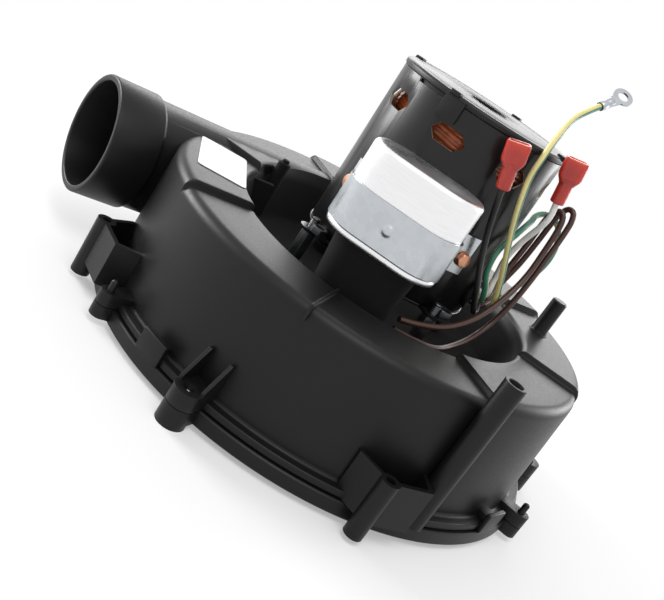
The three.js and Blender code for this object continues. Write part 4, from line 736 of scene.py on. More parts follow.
def hollow_profile(degrees):
    """The same a wall's thickness inside, with the lower level on both sides of a step."""
    level = np.minimum(top_level(degrees - HOLLOW_ASIDE), top_level(degrees + HOLLOW_ASIDE))
    outer = scroll_at(level) - TOP_FILLET
    return ([(0, PARTING - 1), (SCROLL - WALL, PARTING - 1), (SCROLL - WALL, PARTING)]
            + arc(TOP_FILLET - WALL, 0, 90, 5, (outer, level - TOP_FILLET))
            + [(well_at(level) + WALL, level - WALL), (WELL_FLOOR + WALL, FLOOR - WALL), (0, FLOOR - WALL)])


# %% [markdown]
# ### Outlet pipe
# The pipe leaves the scroll along a tangent, with a thicker collar for the vent coupling that clamps on it.
# A cylinder could do for its wall, but one turned profile gives the collar and the rounded mouth as well.
# The well is cut out of the pipe and of its bore first, so that neither of them breaks into it.

# %% Outlet pipe
COLLAR = 29.1
PIPE = 27.5
BORE = 25.9
MOUTH = 26.7
PIPE_START = -4
PIPE_LEVEL = FRONT + 3 * RISE - COLLAR
PIPE_Y = scroll_at(PIPE_LEVEL) - COLLAR
PIPE_REACH = SCROLL + 15
COLLAR_START = PIPE_REACH - 23
SHAFT_HOLE = 9.5
PLUG_TOP = 78


def about_outlet(profile):
    """Turns pairs of radius and reach about the outlet's axis."""
    points, faces = lathe(profile, 144)
    return np.column_stack([-points[:, 2], points[:, 0] + PIPE_Y, points[:, 1] + PIPE_LEVEL]), faces


def well_plug(wall):
    """The well as a solid, grown by a wall."""
    return lathe([(0, FLOOR - wall), (WELL_FLOOR + wall, FLOOR - wall), (well_at(PLUG_TOP) + wall, PLUG_TOP),
                  (0, PLUG_TOP)], 180)


pipe = shaped(about_outlet(
    [(0, PIPE_START), (PIPE, PIPE_START), (PIPE, COLLAR_START - 2.2), (PIPE + 0.12, COLLAR_START - 1.8),
     (COLLAR - 0.12, COLLAR_START - 0.4), (COLLAR, COLLAR_START), (COLLAR, PIPE_REACH - 1)]
    + arc(1, 0, 90, 4, (COLLAR - 1, PIPE_REACH - 1))[1:] + [(0, PIPE_REACH)]), cuts=[well_plug(0)])
bore = shaped(about_outlet(
    [(0, PIPE_START), (BORE, PIPE_START), (BORE, PIPE_REACH - 0.8)]
    + arc(0.8, 180, 90, 3, (MOUTH, PIPE_REACH - 0.8))[1:] + [(MOUTH, PIPE_REACH + 1), (0, PIPE_REACH + 1)]),
    cuts=[well_plug(WALL)])

# %% Scroll with its pipe, hollow inside
scroll = shaped(stepped(skin_profile), adds=[pipe])
scroll = shaped(scroll, cuts=[stepped(hollow_profile), bore, rod(SHAFT_HOLE, 40, 50, segments=64)])
print("Scroll:", len(scroll[0]), "points, top from", FRONT, "to", round(FRONT + 3 * RISE, 2), "mm")

# %% [markdown]
# ### What is moulded on
# The legs are hollow and the ears have gussets, because a moulding keeps one thickness nearly everywhere.
# Each is made once, standing outwards along x, and is then turned to its places.
# They are only put beside the scroll in its mesh: the overlaps are hidden, and a union of all would be slow.

# %% Helpers for things that stand round the axis
leg_places = [252.4, 167, 72.4, 347]
ear_places = [213.4, 333.4, 93.4]
pin_places = [183.4, 303.4, 48]
latch_places = [200.1, 290.1, 20.1, 110.1]
lug_places = [179.7, 269.7, 359.7, 89.7]
LUG_REACH = 46.6


def standing(solid, radius, degrees):
    """Moves a solid from the axis to a place in plan, its x outwards."""
    return turned(moved(solid, Matrix.Translation((radius, 0, 0))), degrees)


def repeated(solid, places, radius=0.0):
    """The same solid at several angles."""
    return merged(*(standing(solid, radius, degrees) for degrees in places))


def inset(corners, wall):
    """Moves each corner inwards along the sum of its sides' normals n: by wall (n1 + n2) / (1 + n1 n2)."""
    p = np.array(corners, float)
    arriving = p - np.roll(p, 1, axis=0)
    leaving = np.roll(p, -1, axis=0) - p
    arriving /= np.linalg.norm(arriving, axis=1)[:, None]
    leaving /= np.linalg.norm(leaving, axis=1)[:, None]
    inward = np.column_stack([-arriving[:, 1] - leaving[:, 1], arriving[:, 0] + leaving[:, 0]])
    return p + inward * wall / (1 + (arriving * leaving).sum(axis=1))[:, None]


def upright_plate(corners, thickness, sideways=0.0):
    """A plate that stands on the outward direction, drawn as radius and level."""
    points, faces = extrude(corners, sideways - thickness / 2, sideways + thickness / 2)
    return points[:, [0, 2, 1]], faces


# %% Legs
ROOT = 109
LEG_TOP = 30
LEG_WALL = 2.2
LEG_SCREW = (124, 0)
LEG_BORE = 2.1
FOOT = 2.4
POST = 4.35
POCKET_FLOOR = 16
OVER_LEG = 32


def leg():
    """A five-sided post with a pocket from above, and a bored post for the screw in the pocket."""
    back, side = 105, 21.1
    corners = [(back, -11.2), (111.7, -11.2), (126.2, 0), (SCROLL + 9.9, side), (back, side)]
    pocket = inset(corners, LEG_WALL)
    pocket[[0, -1], 0] = back - 1
    post = rod(POST, FOOT, LEG_TOP, LEG_SCREW, 40)
    pocket = shaped(extrude(pocket, POCKET_FLOOR, LEG_TOP + 1), cuts=[rod(POST, 10, OVER_LEG, LEG_SCREW, 40)])
    cuts = [pocket, rod(ROOT, 0, OVER_LEG, segments=180), rod(LEG_BORE, 0, OVER_LEG, LEG_SCREW, 24)]
    return shaped(extrude(corners, PARTING, LEG_TOP), adds=[post], cuts=cuts, edge=0.7, segments=3)


# %% Ears
EAR = 6.5
EAR_REACH = 122.3
EAR_TOP = 16.6
EAR_BORE = 2
COUNTERBORE = 2.8
COUNTERBORE_FLOOR = 16
GUSSET = 1.6
GUSSET_ASIDE = 5.7
PIN_EAR = 4.2
PIN_EAR_TOP = 15.4
PIN_REACH = 120.5
PIN_BORE = 1.9
OVER_EAR = 20


def screw_ear():
    """A round ear with a flat root, two gussets and a hole that widens at the top."""
    middle = (EAR_REACH, 0)
    gusset = [(ROOT, PARTING), (EAR_REACH, PARTING), (EAR_REACH, 18.2), (112.2, 30), (ROOT, 30)]
    adds = [block((ROOT, -EAR, PARTING), (EAR_REACH, EAR, EAR_TOP)),
            upright_plate(gusset, GUSSET, -GUSSET_ASIDE), upright_plate(gusset, GUSSET, GUSSET_ASIDE)]
    cuts = [rod(EAR_BORE, 0, OVER_EAR, middle, 24), rod(COUNTERBORE, COUNTERBORE_FLOOR, OVER_EAR, middle, 24)]
    return shaped(rod(EAR, PARTING, EAR_TOP, middle, 48), adds=adds, cuts=cuts, edge=0.4)


def pin_ear():
    """A smaller ear for one of the cover's pins."""
    middle = (PIN_REACH, 0)
    return shaped(rod(PIN_EAR, PARTING, PIN_EAR_TOP, middle, 36), edge=0.35,
                  adds=[block((ROOT, -PIN_EAR, PARTING), (PIN_REACH, PIN_EAR, PIN_EAR_TOP))],
                  cuts=[rod(PIN_BORE, 0, OVER_EAR, middle, 20)])


# %% Flange, tap tube, pegs, ribs and nibs
TAP = 265.6
TAP_REACH = 114.6
PEG_PLACE = (92.8, 344)
WELL_PEG_PLACE = (72.4, 121)
SKIN = 44.6
flange = lathe([(109.2, PARTING), (115.3, PARTING), (115.7, PARTING + 0.4)]
               + arc(0.8, 0, 90, 3, (114.9, 11.8)) + [(112.2, 12.6)]
               + arc(1.6, -90, -180, 4, (112.1, 14.2)) + [(109.2, 14.4)], 240)
tap_tube = lathe([(0, PARTING), (5, PARTING), (5, 81.6), (4.85, 81.95), (4.5, 82.1), (3.7, 82.1),
                  (3.4, 81.95), (3.25, 81.6), (3.25, 52), (0, 52)], 48)
tap_web = shaped(block((ROOT, -1.1, PARTING), (113, 1.1, 64)), edge=0.3)
peg = lathe([(0, 71.5), (5.4, 71.5), (5.4, 73.2), (4.6, 73.6), (4.15, 75.2), (4.05, 92), (3.5, 92.6),
             (0, 92.6)], 40)
well_peg = lathe([(0, SKIN), (3.5, SKIN), (3.3, 76), (3.0, 76.3), (1.9, 76.3), (1.8, 77.7), (1.5, 78),
                  (0, 78)], 32)
floor_boss = lathe([(2.4, SKIN), (6.9, SKIN), (6.4, 46.6), (6.4, 49.6), (6.0, 50), (2.8, 50),
                    (2.4, 49.6)], 40)
collar = lathe([(SHAFT_HOLE, SKIN), (13.6, SKIN), (13, 46.6), (13, 48.6), (12.6, 49), (9.9, 49),
                (SHAFT_HOLE, 48.6)], 64)
rib = shaped(block((WELL_TOP + 2.4, -0.8, FRONT - 6), (SCROLL + 1, 0.8, FRONT + 1.6)), edge=0.6)
nib = shaped(upright_plate([(109.2, 11.7), (117.1, 11.7), (117.1, 12.6), (115.9, 16.1), (109.2, 16.1)], 8.4),
             edge=0.3)

# %% Tongue, between the wheel and the outlet
TONGUE_TIP = 69
TONGUE_ROOT = 100
TONGUE = 3
wall_y = PIPE_Y - BORE
tip_x, root_x = (-math.sqrt(radius ** 2 - wall_y ** 2) for radius in (TONGUE_TIP, TONGUE_ROOT))
tongue = block((root_x, wall_y - TONGUE, 13.2), (tip_x, wall_y, 66))

# %% Housing
housing = merged(
    scroll, flange, tongue, repeated(leg(), leg_places), repeated(screw_ear(), ear_places),
    repeated(pin_ear(), pin_places), standing(tap_tube, TAP_REACH, TAP), turned(tap_web, TAP),
    standing(peg, *PEG_PLACE), standing(well_peg, *WELL_PEG_PLACE),
    repeated(floor_boss, lug_places, LUG_REACH), collar, turned(rib, LOWEST), repeated(nib, latch_places))
piece(loose("scroll_housing", housing), scroll_plastic, replaces=["upper_housing"])

# %% [markdown]
# ## Cover
# The cover is a shallow tray that closes the scroll from below; its bell curves up into the wheel's eye.
# A turned profile gives the tray, and small rounded solids give the ribs, ears, pins and latch arms.
# The arms snap over nibs on the housing, so they stand just outside them.

# %% Inlet bell and tray
FLARE = 46.0
THROAT = 33.0
BELL_TOP = 12.4
LIP = 17.0
COVER_BOTTOM = 2.4
COVER_TOP = 9.1
TRAY = 114.5
HEAD_HOLE = 4.2


def bell(radius, level):
    """A quarter of an ellipse inwards and up: (r - (flare - throat) sin t, z + (top - z) (1 - cos t))."""
    t = np.linspace(0, math.pi / 2, 14)
    return list(zip(radius - (FLARE - THROAT) * np.sin(t), level + (BELL_TOP - level) * (1 - np.cos(t))))


tray = ([(TRAY, 2.4), (116.9, 2.4), (117.5, 3.0), (117.5, 8.5), (116.9, COVER_TOP), (TRAY, COVER_TOP),
         (TRAY, 7.8), (107.5, 7.8), (107.5, 12.4), (105.5, 12.4), (105.5, 7.8)] + bell(FLARE + 2.2, 7.8)
        + [(35.2, LIP - 0.5), (34.7, LIP), (33.5, LIP), (33, LIP - 0.5)] + bell(FLARE, 5)[::-1] + [(TRAY, 5)])
seat = [(49, 6.4), (49, 2.9), (49.5, 2.4), (59.5, 2.4), (60, 2.9), (60, 6.4)]


# %% Cover
def cover():
    """The tray with everything that is moulded on it."""
    spine = shaped(block((59, -0.8, COVER_BOTTOM), (115.5, 0.8, 6.4)), edge=0.25)
    arm = shaped(block((115.2, -7.5, 8.8), (117.5, 7.5, 18.6)), edge=0.6, segments=3)
    ear = shaped(rod(EAR, 0, COVER_TOP, (EAR_REACH, 0), 48), edge=0.4,
                 adds=[block((TRAY, -EAR, COVER_BOTTOM), (EAR_REACH, EAR, COVER_TOP))],
                 cuts=[rod(EAR_BORE, -1, 10, (EAR_REACH, 0), 24),
                       rod(HEAD_HOLE, -1, 3.4, (EAR_REACH, 0), 32)])
    small = shaped(rod(PIN_EAR, 3.2, COVER_TOP, (PIN_REACH, 0), 36), edge=0.35,
                   adds=[block((TRAY, -PIN_EAR, 3.2), (PIN_REACH, PIN_EAR, COVER_TOP))])
    pin = lathe([(0, 8), (1.6, 8), (1.6, 19.6), (1.2, 20.3), (0.6, 20.6), (0, 20.6)], 24)
    ribs = np.arange(196, 556, 36)
    return merged(lathe(tray, 240), lathe(seat, 160), repeated(spine, ribs), repeated(arm, latch_places),
                  repeated(ear, ear_places), repeated(small, pin_places),
                  repeated(pin, pin_places, PIN_REACH))


piece(loose("inlet_cover", cover()), cover_plastic, replaces=["lower_cover"])
gasket = lathe([(49.3, 0.6), (49.7, 0.2), (59.3, 0.2), (59.7, 0.6), (59.7, 1.7), (59.3, 2.1), (49.7, 2.1),
                (49.3, 1.7)], 160)
piece(loose("foam_gasket", gasket), foam, replaces=["inlet_gasket"])


# %% Cover screws
def cover_screw():
    """A turned pan head and shank, with a six-sided socket from below."""
    head = lathe([(0, 0.3), (3.2, 0.3), (3.9, 0.9), (3.9, 3.1), (1.7, 3.1), (1.7, 14.8), (0.6, 15.6),
                  (0, 15.6)], 32)
    return shaped(head, cuts=[extrude(arc(2.1, 0, 300, 5), -1, 1.9)], edge=0.12)


for number, degrees in enumerate(ear_places, 1):
    screw = loose(f"cover_screw_{number}_detail", standing(cover_screw(), EAR_REACH, degrees))
    piece(screw, zinc, replaces=[f"cover_screw_{number}"])

# %% [markdown]
# ## Motor
# The can is drawn from sheet and its vents are punched; both caps are pressed, the upper one turned over.
# Booleans punch the vents here, so each cut shows the sheet's real thickness from any side.
# The motor stands on four lugs, each with a hexagonal standoff, a nut and a rubber grommet.

# %% Motor can
CAN = 41.9
CAN_INNER = 40.9
CAN_TOP = 151.7
CAN_BOTTOM = 71.1
VENT_LEVEL = 138.5
STRAP_LEVEL = 97.7
STRAP_HOLE = 1.9
BUSHING_HOLE = 6.3
THROUGH_CAN = (38, 44)
CAPACITOR = 225.4
STRAP_SPREAD = 43
NOTCH = 194
strap_screws = [CAPACITOR - STRAP_SPREAD, CAPACITOR + STRAP_SPREAD]
vent_places = [174.6 + 45 * i for i in range(8)]


def laid(solid, level=0.0):
    """Lays a solid down: its z points outwards, its x aside, and its y up from a level."""
    points, faces = solid
    return points[:, [2, 0, 1]] + (0, 0, level), faces


def lying(radius, inner, outer, level, segments=32):
    """A rod that lies along the outward direction."""
    return laid(rod(radius, inner, outer, segments=segments), level)


def motor_can():
    """A turned wall, cut by the vents, a notch for the cap's tab, the bushing's hole and two screw holes."""
    wall = lathe([(CAN_INNER, CAN_BOTTOM), (CAN, CAN_BOTTOM), (CAN, CAN_TOP), (CAN_INNER, CAN_TOP)], 192)
    vent = [(-8.5, 0), (-5.1, -4), (5.1, -4), (8.5, 0), (5.1, 4), (-5.1, 4)]
    vent = laid(extrude(vent, 36, 44), VENT_LEVEL)
    notch = block((40, -8, CAN_TOP - 1.6), (43, 8, CAN_TOP + 1))
    cuts = [turned(vent, a) for a in vent_places] + [turned(notch, NOTCH)]
    cuts += [turned(lying(BUSHING_HOLE, *THROUGH_CAN, BUSHING_LEVEL), BUSHING)]
    cuts += [turned(lying(STRAP_HOLE, *THROUGH_CAN, STRAP_LEVEL), a) for a in strap_screws]
    return shaped(wall, cuts=cuts, edge=0.22, angle=50)


piece(loose("drawn_can", motor_can()), can_paint, replaces=["motor_can"])

# %% [markdown]
# ### Caps and mounting
# Each cap has a bearing cup in its middle. Four crimps hold the upper one, and the lower one has the lugs.
# Both are round, so their profiles are turned, and only what isn't round is made by itself and added.

# %% End cap
CAP = 42.5
CAP_TOP = 155
TAB = 212.2
CRIMP = 29.7


def end_cap():
    """A turned cap with a bearing cup, a tab bent down at its edge, and four crimps."""
    profile = ([(9.5, 154.6), (9.5, 140.4), (5.5, 140.4), (5.5, 139.2), (10.7, 139.2), (10.7, 153.8),
                (39, 153.8), (39, 148.7), (40.6, 148.7), (40.6, 152), (42.1, 152), (CAP, 152.4), (CAP, 153.4)]
               + arc(1.6, 0, 90, 6, (CAP - 1.6, 153.4))
               + [(37.6, CAP_TOP), (37.2, 154.82), (36.6, 154.82), (36.2, CAP_TOP), (13.5, CAP_TOP),
                  (12.9, 154.75), (11.6, 154.75), (11.0, CAP_TOP), (9.9, CAP_TOP)])
    tab = ([(-5, 153.6), (-5, 144.6)] + arc(1.2, 180, 270, 3, (-3.8, 144.6))[1:]
           + arc(1.2, 270, 360, 3, (3.8, 144.6)) + [(5, 153.6)])
    tab_plate = shaped(laid(extrude(tab, 42.2, 43.0)), edge=0.2)
    bend = shaped(block((CAN_INNER, -5, 152.9), (43.0, 5, 153.8)), edge=0.25)
    crimp = shaped(block((38.9, -2.5, 153.8), (43.0, 2.5, 156)), edge=0.6, segments=3)
    return merged(lathe(profile, 192), turned(tab_plate, TAB), turned(bend, TAB),
                  repeated(crimp, [CRIMP + 90 * i for i in range(4)]))


piece(loose("turned_over_cap", end_cap()), cap_paint, replaces=["motor_end_cap"])

# %% Base cap
CAP_LOW = 69.6
CAP_HIGH = 70.8
LUG = 5.2
STUD_HOLE = 2.4


def base_cap():
    """A turned dish with a bearing cup, and a bored lug for each standoff."""
    dish = lathe([(9.5, 69.9), (9.8, CAP_LOW), (42.2, CAP_LOW), (CAP, 69.9), (CAP, 70.5), (42.2, CAP_HIGH),
                  (40.6, CAP_HIGH), (40.6, 74.1), (39, 74.1), (39, CAP_HIGH), (10.7, CAP_HIGH), (10.7, 85.4),
                  (5.5, 85.4), (5.5, 84.2), (9.5, 84.2)], 160)
    middle = (LUG_REACH, 0)
    lug = shaped(rod(LUG, CAP_LOW, CAP_HIGH, middle, 40), edge=0.25,
                 adds=[block((40, -LUG, CAP_LOW), (LUG_REACH, LUG, CAP_HIGH))],
                 cuts=[rod(STUD_HOLE, 68, 72, middle, 24)])
    return merged(dish, repeated(lug, lug_places))


piece(loose("base_cap_with_lugs", base_cap()), black_paint, replaces=["motor_base_cap"])


# %% Standoffs, nuts and grommets
def threaded(radius, bottom, top, pitch=0.8, depth=0.18, segments=24):
    """A turned stud whose radius falls by the depth and rises again once in each pitch."""
    z = bottom + 0.5 + np.arange(2 * int((top - bottom - 1) / pitch)) * pitch / 2
    r = radius - depth * (np.arange(len(z)) % 2)
    return lathe([(0, bottom), (radius - 0.4, bottom), (radius, bottom + 0.4), *zip(r, z),
                  (radius, top - 0.4), (radius - 0.4, top), (0, top)], segments)


def hexagon(corner, bottom, top):
    """A hex prism with its corners turned off by a cone at each end."""
    cone = lathe([(0, bottom), (corner - 0.45, bottom), (corner + 0.05, bottom + 0.5),
                  (corner + 0.05, top - 0.5), (corner - 0.45, top), (0, top)], 48)
    return shaped(extrude(arc(corner, 0, 300, 5), bottom, top), common=cone, edge=0.12, angle=25)


standoff = merged(hexagon(3.7, 55.0, 69.3), threaded(2.0, 45.9, 76))
nut = shaped(hexagon(4.0, 71.1, 74.3), cuts=[rod(STUD_HOLE, 70, 75, segments=24)])
grommet = lathe([(STUD_HOLE, 50.3), (5.0, 50.3), (5.6, 50.8), (5.6, 51.6), (4.7, 52.1), (4.7, 52.9),
                 (5.6, 53.4), (5.6, 54.2), (5.0, 54.7), (STUD_HOLE, 54.7)], 48)
mounting = [("hex_standoff", standoff, 0, zinc_with_painted_shade, "zinc_steel", "motor_standoff"),
            ("hex_nut", nut, 7, zinc_with_painted_shade, "zinc_steel", "motor_nut"),
            ("rubber_grommet", grommet, 0, black_rubber, "black_rubber", "motor_grommet")]
for number, degrees in enumerate(lug_places, 1):
    for name, solid, turn, material, slot, node in mounting:
        piece(loose(f"{name}_{number}", standing(solid, LUG_REACH, degrees + turn)), material,
              replaces=[f"{node}_{number}"])

# %% [markdown]
# ## Inside the motor
# The vents show the upper winding, and the cap's hole shows the bearing under its oiled felt.
# Real windings are hundreds of wires. Curves for all of them would be heavy and would hardly be seen.
# So each winding is one fat ring whose surface rises and falls in strands that slant round it.

# %% Windings
WINDING_MIDDLE = 29.75
WINDING_HALF_WIDTH = 6.15
WINDING_HALF_HEIGHT = 8.0
WINDING_RISE = 8.5
STRAND = 0.55
PINCH = 0.6


def winding(bottom):
    """A ring with r = R + (w + strand + pinch cos 16t) cos s and z = z0 + (h + strand) sin s."""
    t, s = np.meshgrid(np.radians(np.arange(0, 360, 1.5)), np.linspace(0, 2 * math.pi, 96, endpoint=False),
                       indexing="ij")
    strand = STRAND * np.abs(np.sin(12 * s + 5 * t))
    r = WINDING_MIDDLE + (WINDING_HALF_WIDTH + strand + PINCH * np.cos(16 * t)) * np.cos(s)
    z = bottom + WINDING_RISE + (WINDING_HALF_HEIGHT + strand) * np.sin(s)
    return grid(np.stack([r * np.cos(t), r * np.sin(t), z], axis=2), wrap_u=True, wrap_v=True)


for name, bottom in (("upper", 128.3), ("lower", 75.7)):
    piece(loose(f"wound_end_{name}", winding(bottom), 60), copper_wire,
          replaces=[f"winding_{name}"])

# %% Cores, bearings and shaft
STACK_LOW = 93
STACK_HIGH = 128
SHAFT_BORE = 4.03
stack = lathe([(21.0, STACK_LOW), (40.6, STACK_LOW), (40.6, STACK_HIGH), (21.0, STACK_HIGH)], 160)
piece(loose("stator_stack", stack), dark_steel, replaces=["stator_core"])
for name, low in (("upper", 140.7), ("lower", 76.3)):
    high = low + 7.6
    ball = lathe([(SHAFT_BORE, low), (7.3, low)] + arc(9.2, -22, 22, 8, (0, low + 3.8))
                 + [(7.3, high), (SHAFT_BORE, high)], 64)
    piece(loose(f"sleeve_bearing_{name}", ball), bronze, replaces=[f"{name}_bearing"])
shaft_outline = [(0, 14.4), (3.5, 14.4), (3.97, 15.0), (3.97, 149.6), (3.3, 150.4), (0, 150.4)]
piece(loose("turned_shaft", lathe(shaft_outline, 64)), steel, "rotor", ["motor_shaft"])
felt = lathe([(5.6, 148.4), (9.3, 148.4), (9.3, 151.8), (8.9, 152.1), (6.0, 152.1), (5.6, 151.8)], 64)
piece(loose("oil_felt_ring", felt), oil_felt)
core = lathe([(SHAFT_BORE, STACK_LOW), (20.5, STACK_LOW), (20.5, STACK_HIGH), (SHAFT_BORE, STACK_HIGH)], 128)
piece(loose("rotor_stack", core), dark_steel, "rotor", ["rotor_core"])
for name, low, high in (("upper", 128.3, 132), ("lower", 89, 92.7)):
    end_ring = lathe([(10.3, low), (19.4, low), (19.4, high - 0.3), (19.1, high), (10.6, high),
                      (10.3, high - 0.3)], 96)
    piece(loose(f"end_ring_{name}", end_ring), aluminium, "rotor", [f"rotor_end_ring_{name}"])

# %% [markdown]
# ## Wheel
# Twelve backward-curved blades stand between a back plate and a shroud ring, on a bronze hub.
# A blade could be a curve with thickness, but a plate cut by a turned cone gives its slope under the shroud.

# %% Shroud and blades
BLADE_INNER = 39
BLADE_OUTER = 61.2
BLADE_HALF = 0.8
SWEEP = -34
shroud = [(37.1, 12.6), (38.5, 12.6), (38.6, 14.2), (39.6, 15.6), (43.5, 17.0), (49.5, 18.4), (56, 19.4),
          (61.9, 20.0), (62, 20.3), (62, 21.5), (61.9, 21.6), (56, 21.0), (49.5, 20.0), (43.5, 18.6),
          (38.6, 17.2), (37, 17.0), (37, 12.7)]
piece(loose("shroud_ring", lathe(shroud, 160)), wheel_plastic, "rotor", ["impeller_shroud"])


def wheel_blade():
    """Radius grows evenly with s while the angle goes as s^0.8; half the thickness stands on each side."""
    share = np.linspace(0, 1, 14)
    radius = BLADE_INNER + share * (BLADE_OUTER - BLADE_INNER)
    turn = np.radians(SWEEP * share ** 0.8)
    path = np.column_stack([radius * np.cos(turn), radius * np.sin(turn)])
    along = np.gradient(path, axis=0)
    along /= np.linalg.norm(along, axis=1)[:, None]
    aside = np.column_stack([-along[:, 1], along[:, 0]]) * BLADE_HALF
    outline = np.vstack([path + aside, (path - aside)[::-1]])
    slope = [(0, 10), (62.6, 10), (62.6, 21.9), (49.5, 20.4), (38.6, 17.5), (0, 17.5)]
    return shaped(extrude(outline, 12.6, 39.3), cuts=[lathe(slope, 96)])


plate = lathe([(8.3, 24.4), (8.7, 24), (13.1, 24), (13.5, 24.4), (13.5, 33.8)]
              + arc(4.4, 180, 90, 5, (17.9, 33.8))[1:]
              + [(61.6, 38.2), (62, 38.6), (62, 40), (61.6, 40.4), (8.7, 40.4), (8.3, 40)], 160)
wheel = merged(plate, repeated(wheel_blade(), [30 * i for i in range(12)]))
piece(loose("bladed_wheel", wheel), wheel_plastic, "rotor", ["impeller_wheel"])

# %% Hub, set screw and clip
SET_SCREW_LEVEL = 20.8
CLIP = 6.5
hub = shaped(lathe([(SHAFT_BORE, 18.4), (4.4, 18), (7.6, 18), (8, 18.4), (8, 41.6), (7.6, 42), (4.4, 42),
                    (SHAFT_BORE, 41.6)], 64), cuts=[lying(2.15, 3, 10, SET_SCREW_LEVEL)])
piece(loose("bored_hub", hub), bronze, "rotor", ["impeller_hub"])
socket = lying(1.0, 7.8, 10, SET_SCREW_LEVEL, 6)
set_screw = shaped(lying(2.0, 4.27, 9, SET_SCREW_LEVEL), cuts=[socket], edge=0.12)
piece(loose("socket_set_screw", set_screw), dark_steel, "rotor", ["hub_set_screw"])
clip_cuts = [rod(SHAFT_BORE, 16, 18, segments=48), block((4.4, -1.1, 16), (8, 1.1, 18)),
             rod(1.1, 16, 18, (5.2, 2.4), 16), rod(1.1, 16, 18, (5.2, -2.4), 16)]
clip = shaped(rod(CLIP, 16.7, 17.7, segments=64), edge=0.12, cuts=clip_cuts)
piece(loose("push_on_clip", clip), zinc, "rotor", ["shaft_clip"])

# %% [markdown]
# ## Run capacitor
# The capacitor is an oval drawn can, set on its head, with its rolled bead, lid and blades in a rubber boot.
# It isn't round, so it can't be turned. Instead, equal outlines are stacked at rising levels.

# %% Capacitor
CAPACITOR_REACH = 60.0
BOOT_REACH = 57.0
CAPACITOR_LENGTH = 52
CAPACITOR_WIDTH = 30.5
CAPACITOR_TOP = 126.0


def oval(length, width):
    """Two half circles joined by straight sides."""
    half = (length - width) / 2
    return np.array(arc(width / 2, -90, 90, 24, (half, 0)) + arc(width / 2, 90, 270, 24, (-half, 0)))


def stacked(rings):
    """Joins equal outlines at rising levels into a closed solid."""
    net = np.array([np.column_stack([outline, np.full(len(outline), level)]) for outline, level in rings])
    points, faces = grid(net, wrap_v=True)
    n = len(rings[0][0])
    return points, faces + [tuple(range(n)), tuple(range(len(points) - n, len(points)))[::-1]]


def at_capacitor(solid, radius):
    """Places a solid drawn with x across and y outwards at the capacitor."""
    return turned(moved(solid, Matrix.Translation((0, radius, 0))), CAPACITOR - 90)


def capacitor_can():
    """From the bead's foot up: the bead and the top edge are arcs, written as a shrink and a level."""
    bead = [(0.3 - 0.7 * math.sin(a), 88.6 - 1.5 * math.cos(a)) for a in np.linspace(0.25, math.pi - 0.25, 9)]
    edge = [(2.2 * (1 - math.cos(a)), 123.8 + 2.2 * math.sin(a)) for a in np.linspace(0, math.pi / 2, 8)]
    outline = ([(1.4, 87.1)] + bead + [(0.35, 90.2), (0, 90.8), (0, 100), (0, 112)] + edge
               + [(3.2, CAPACITOR_TOP), (3.6, 125.85), (6, 125.85), (10, 125.85)])
    return stacked([(oval(CAPACITOR_LENGTH - 2 * s, CAPACITOR_WIDTH - 2 * s), level) for s, level in outline])


def capacitor_lid():
    """A dark plate with a flat blade on each side."""
    lid = shaped(stacked([(oval(33, 14), 85.0), (oval(33, 14), 86.8)]), edge=0.2)
    blades = [shaped(block((x - 0.4, -3.15, 76.7), (x + 0.4, 3.15, 86.5)), edge=0.15) for x in (-10, 10)]
    return merged(lid, *blades)


piece(loose("drawn_capacitor", at_capacitor(capacitor_can(), CAPACITOR_REACH), 50), aluminium,
      replaces=["capacitor_can"])
piece(loose("lid_with_terminals", at_capacitor(capacitor_lid(), BOOT_REACH)), dark_steel,
      replaces=["capacitor_lid"])


# %% Boot
def boot():
    """A moulded cap that narrows downwards, with a beaded mouth; it shrinks about half as much in width."""
    outside = [(56, 6.6), (56.5, 5.8), (57.3, 5.2), (60, 4.9), (70, 3.0), (79, 1.2), (84.2, 0.3), (84.6, 0.0),
               (86.3, 0.0), (86.8, 0.4)]
    rings = [(oval(40 - shrink, 21 - shrink * 0.52), level) for level, shrink in outside]
    inside = [(36.9, 17.8, 86.8), (36.6, 17.6, 86.2), (36, 17.3, 79), (32.5, 15.5, 58)]
    return stacked(rings + [(oval(length, width), level) for length, width, level in inside])


piece(loose("moulded_boot", at_capacitor(boot(), BOOT_REACH), 45), black_rubber,
      replaces=["capacitor_boot"])

# %% [markdown]
# ### Strap
# A galvanised strap holds the can, with an ear under a screw at each end and a round dimple in front.
# It is a sheet: one net of points along its route and up its width, shifted to both sides along its normals.

# %% Strap
STRAP_HALF = 0.4
STRAP_CORNER = 15.95
STRAP_EAR = 42.6
STRAP_LOW = 90.4
STRAP_HIGH = 108.7
DIMPLE_LEVEL = 99.6
DIMPLE_RADIUS = 2.3
DIMPLE_HEIGHT = 0.85


def sheet_between(inner, outer):
    """Closes two equal nets of points into a plate."""
    nu, nv = inner.shape[:2]
    points, faces = grid(np.concatenate([inner, outer[:, ::-1]], axis=1), wrap_v=True)
    return points, faces + [tuple(range(2 * nv)), tuple(range((nu - 1) * 2 * nv, nu * 2 * nv))[::-1]]


def strap_route():
    """From one ear round the can to the other ear, as seen from above, in six parts between corners."""
    right = np.array(arc(STRAP_EAR, 42, 54, 6) + arc(STRAP_CORNER, -20, 90, 18, (10.75, CAPACITOR_REACH)))
    middle = np.column_stack([np.linspace(10.7, -10.7, 9), np.full(9, CAPACITOR_REACH + STRAP_CORNER)])
    corners = np.vstack([right, middle, right[::-1] * [-1, 1]])
    parts = [np.linspace(a, b, 6, endpoint=False) for a, b in zip(corners[:-1], corners[1:])]
    return np.vstack(parts + [corners[-1:]])


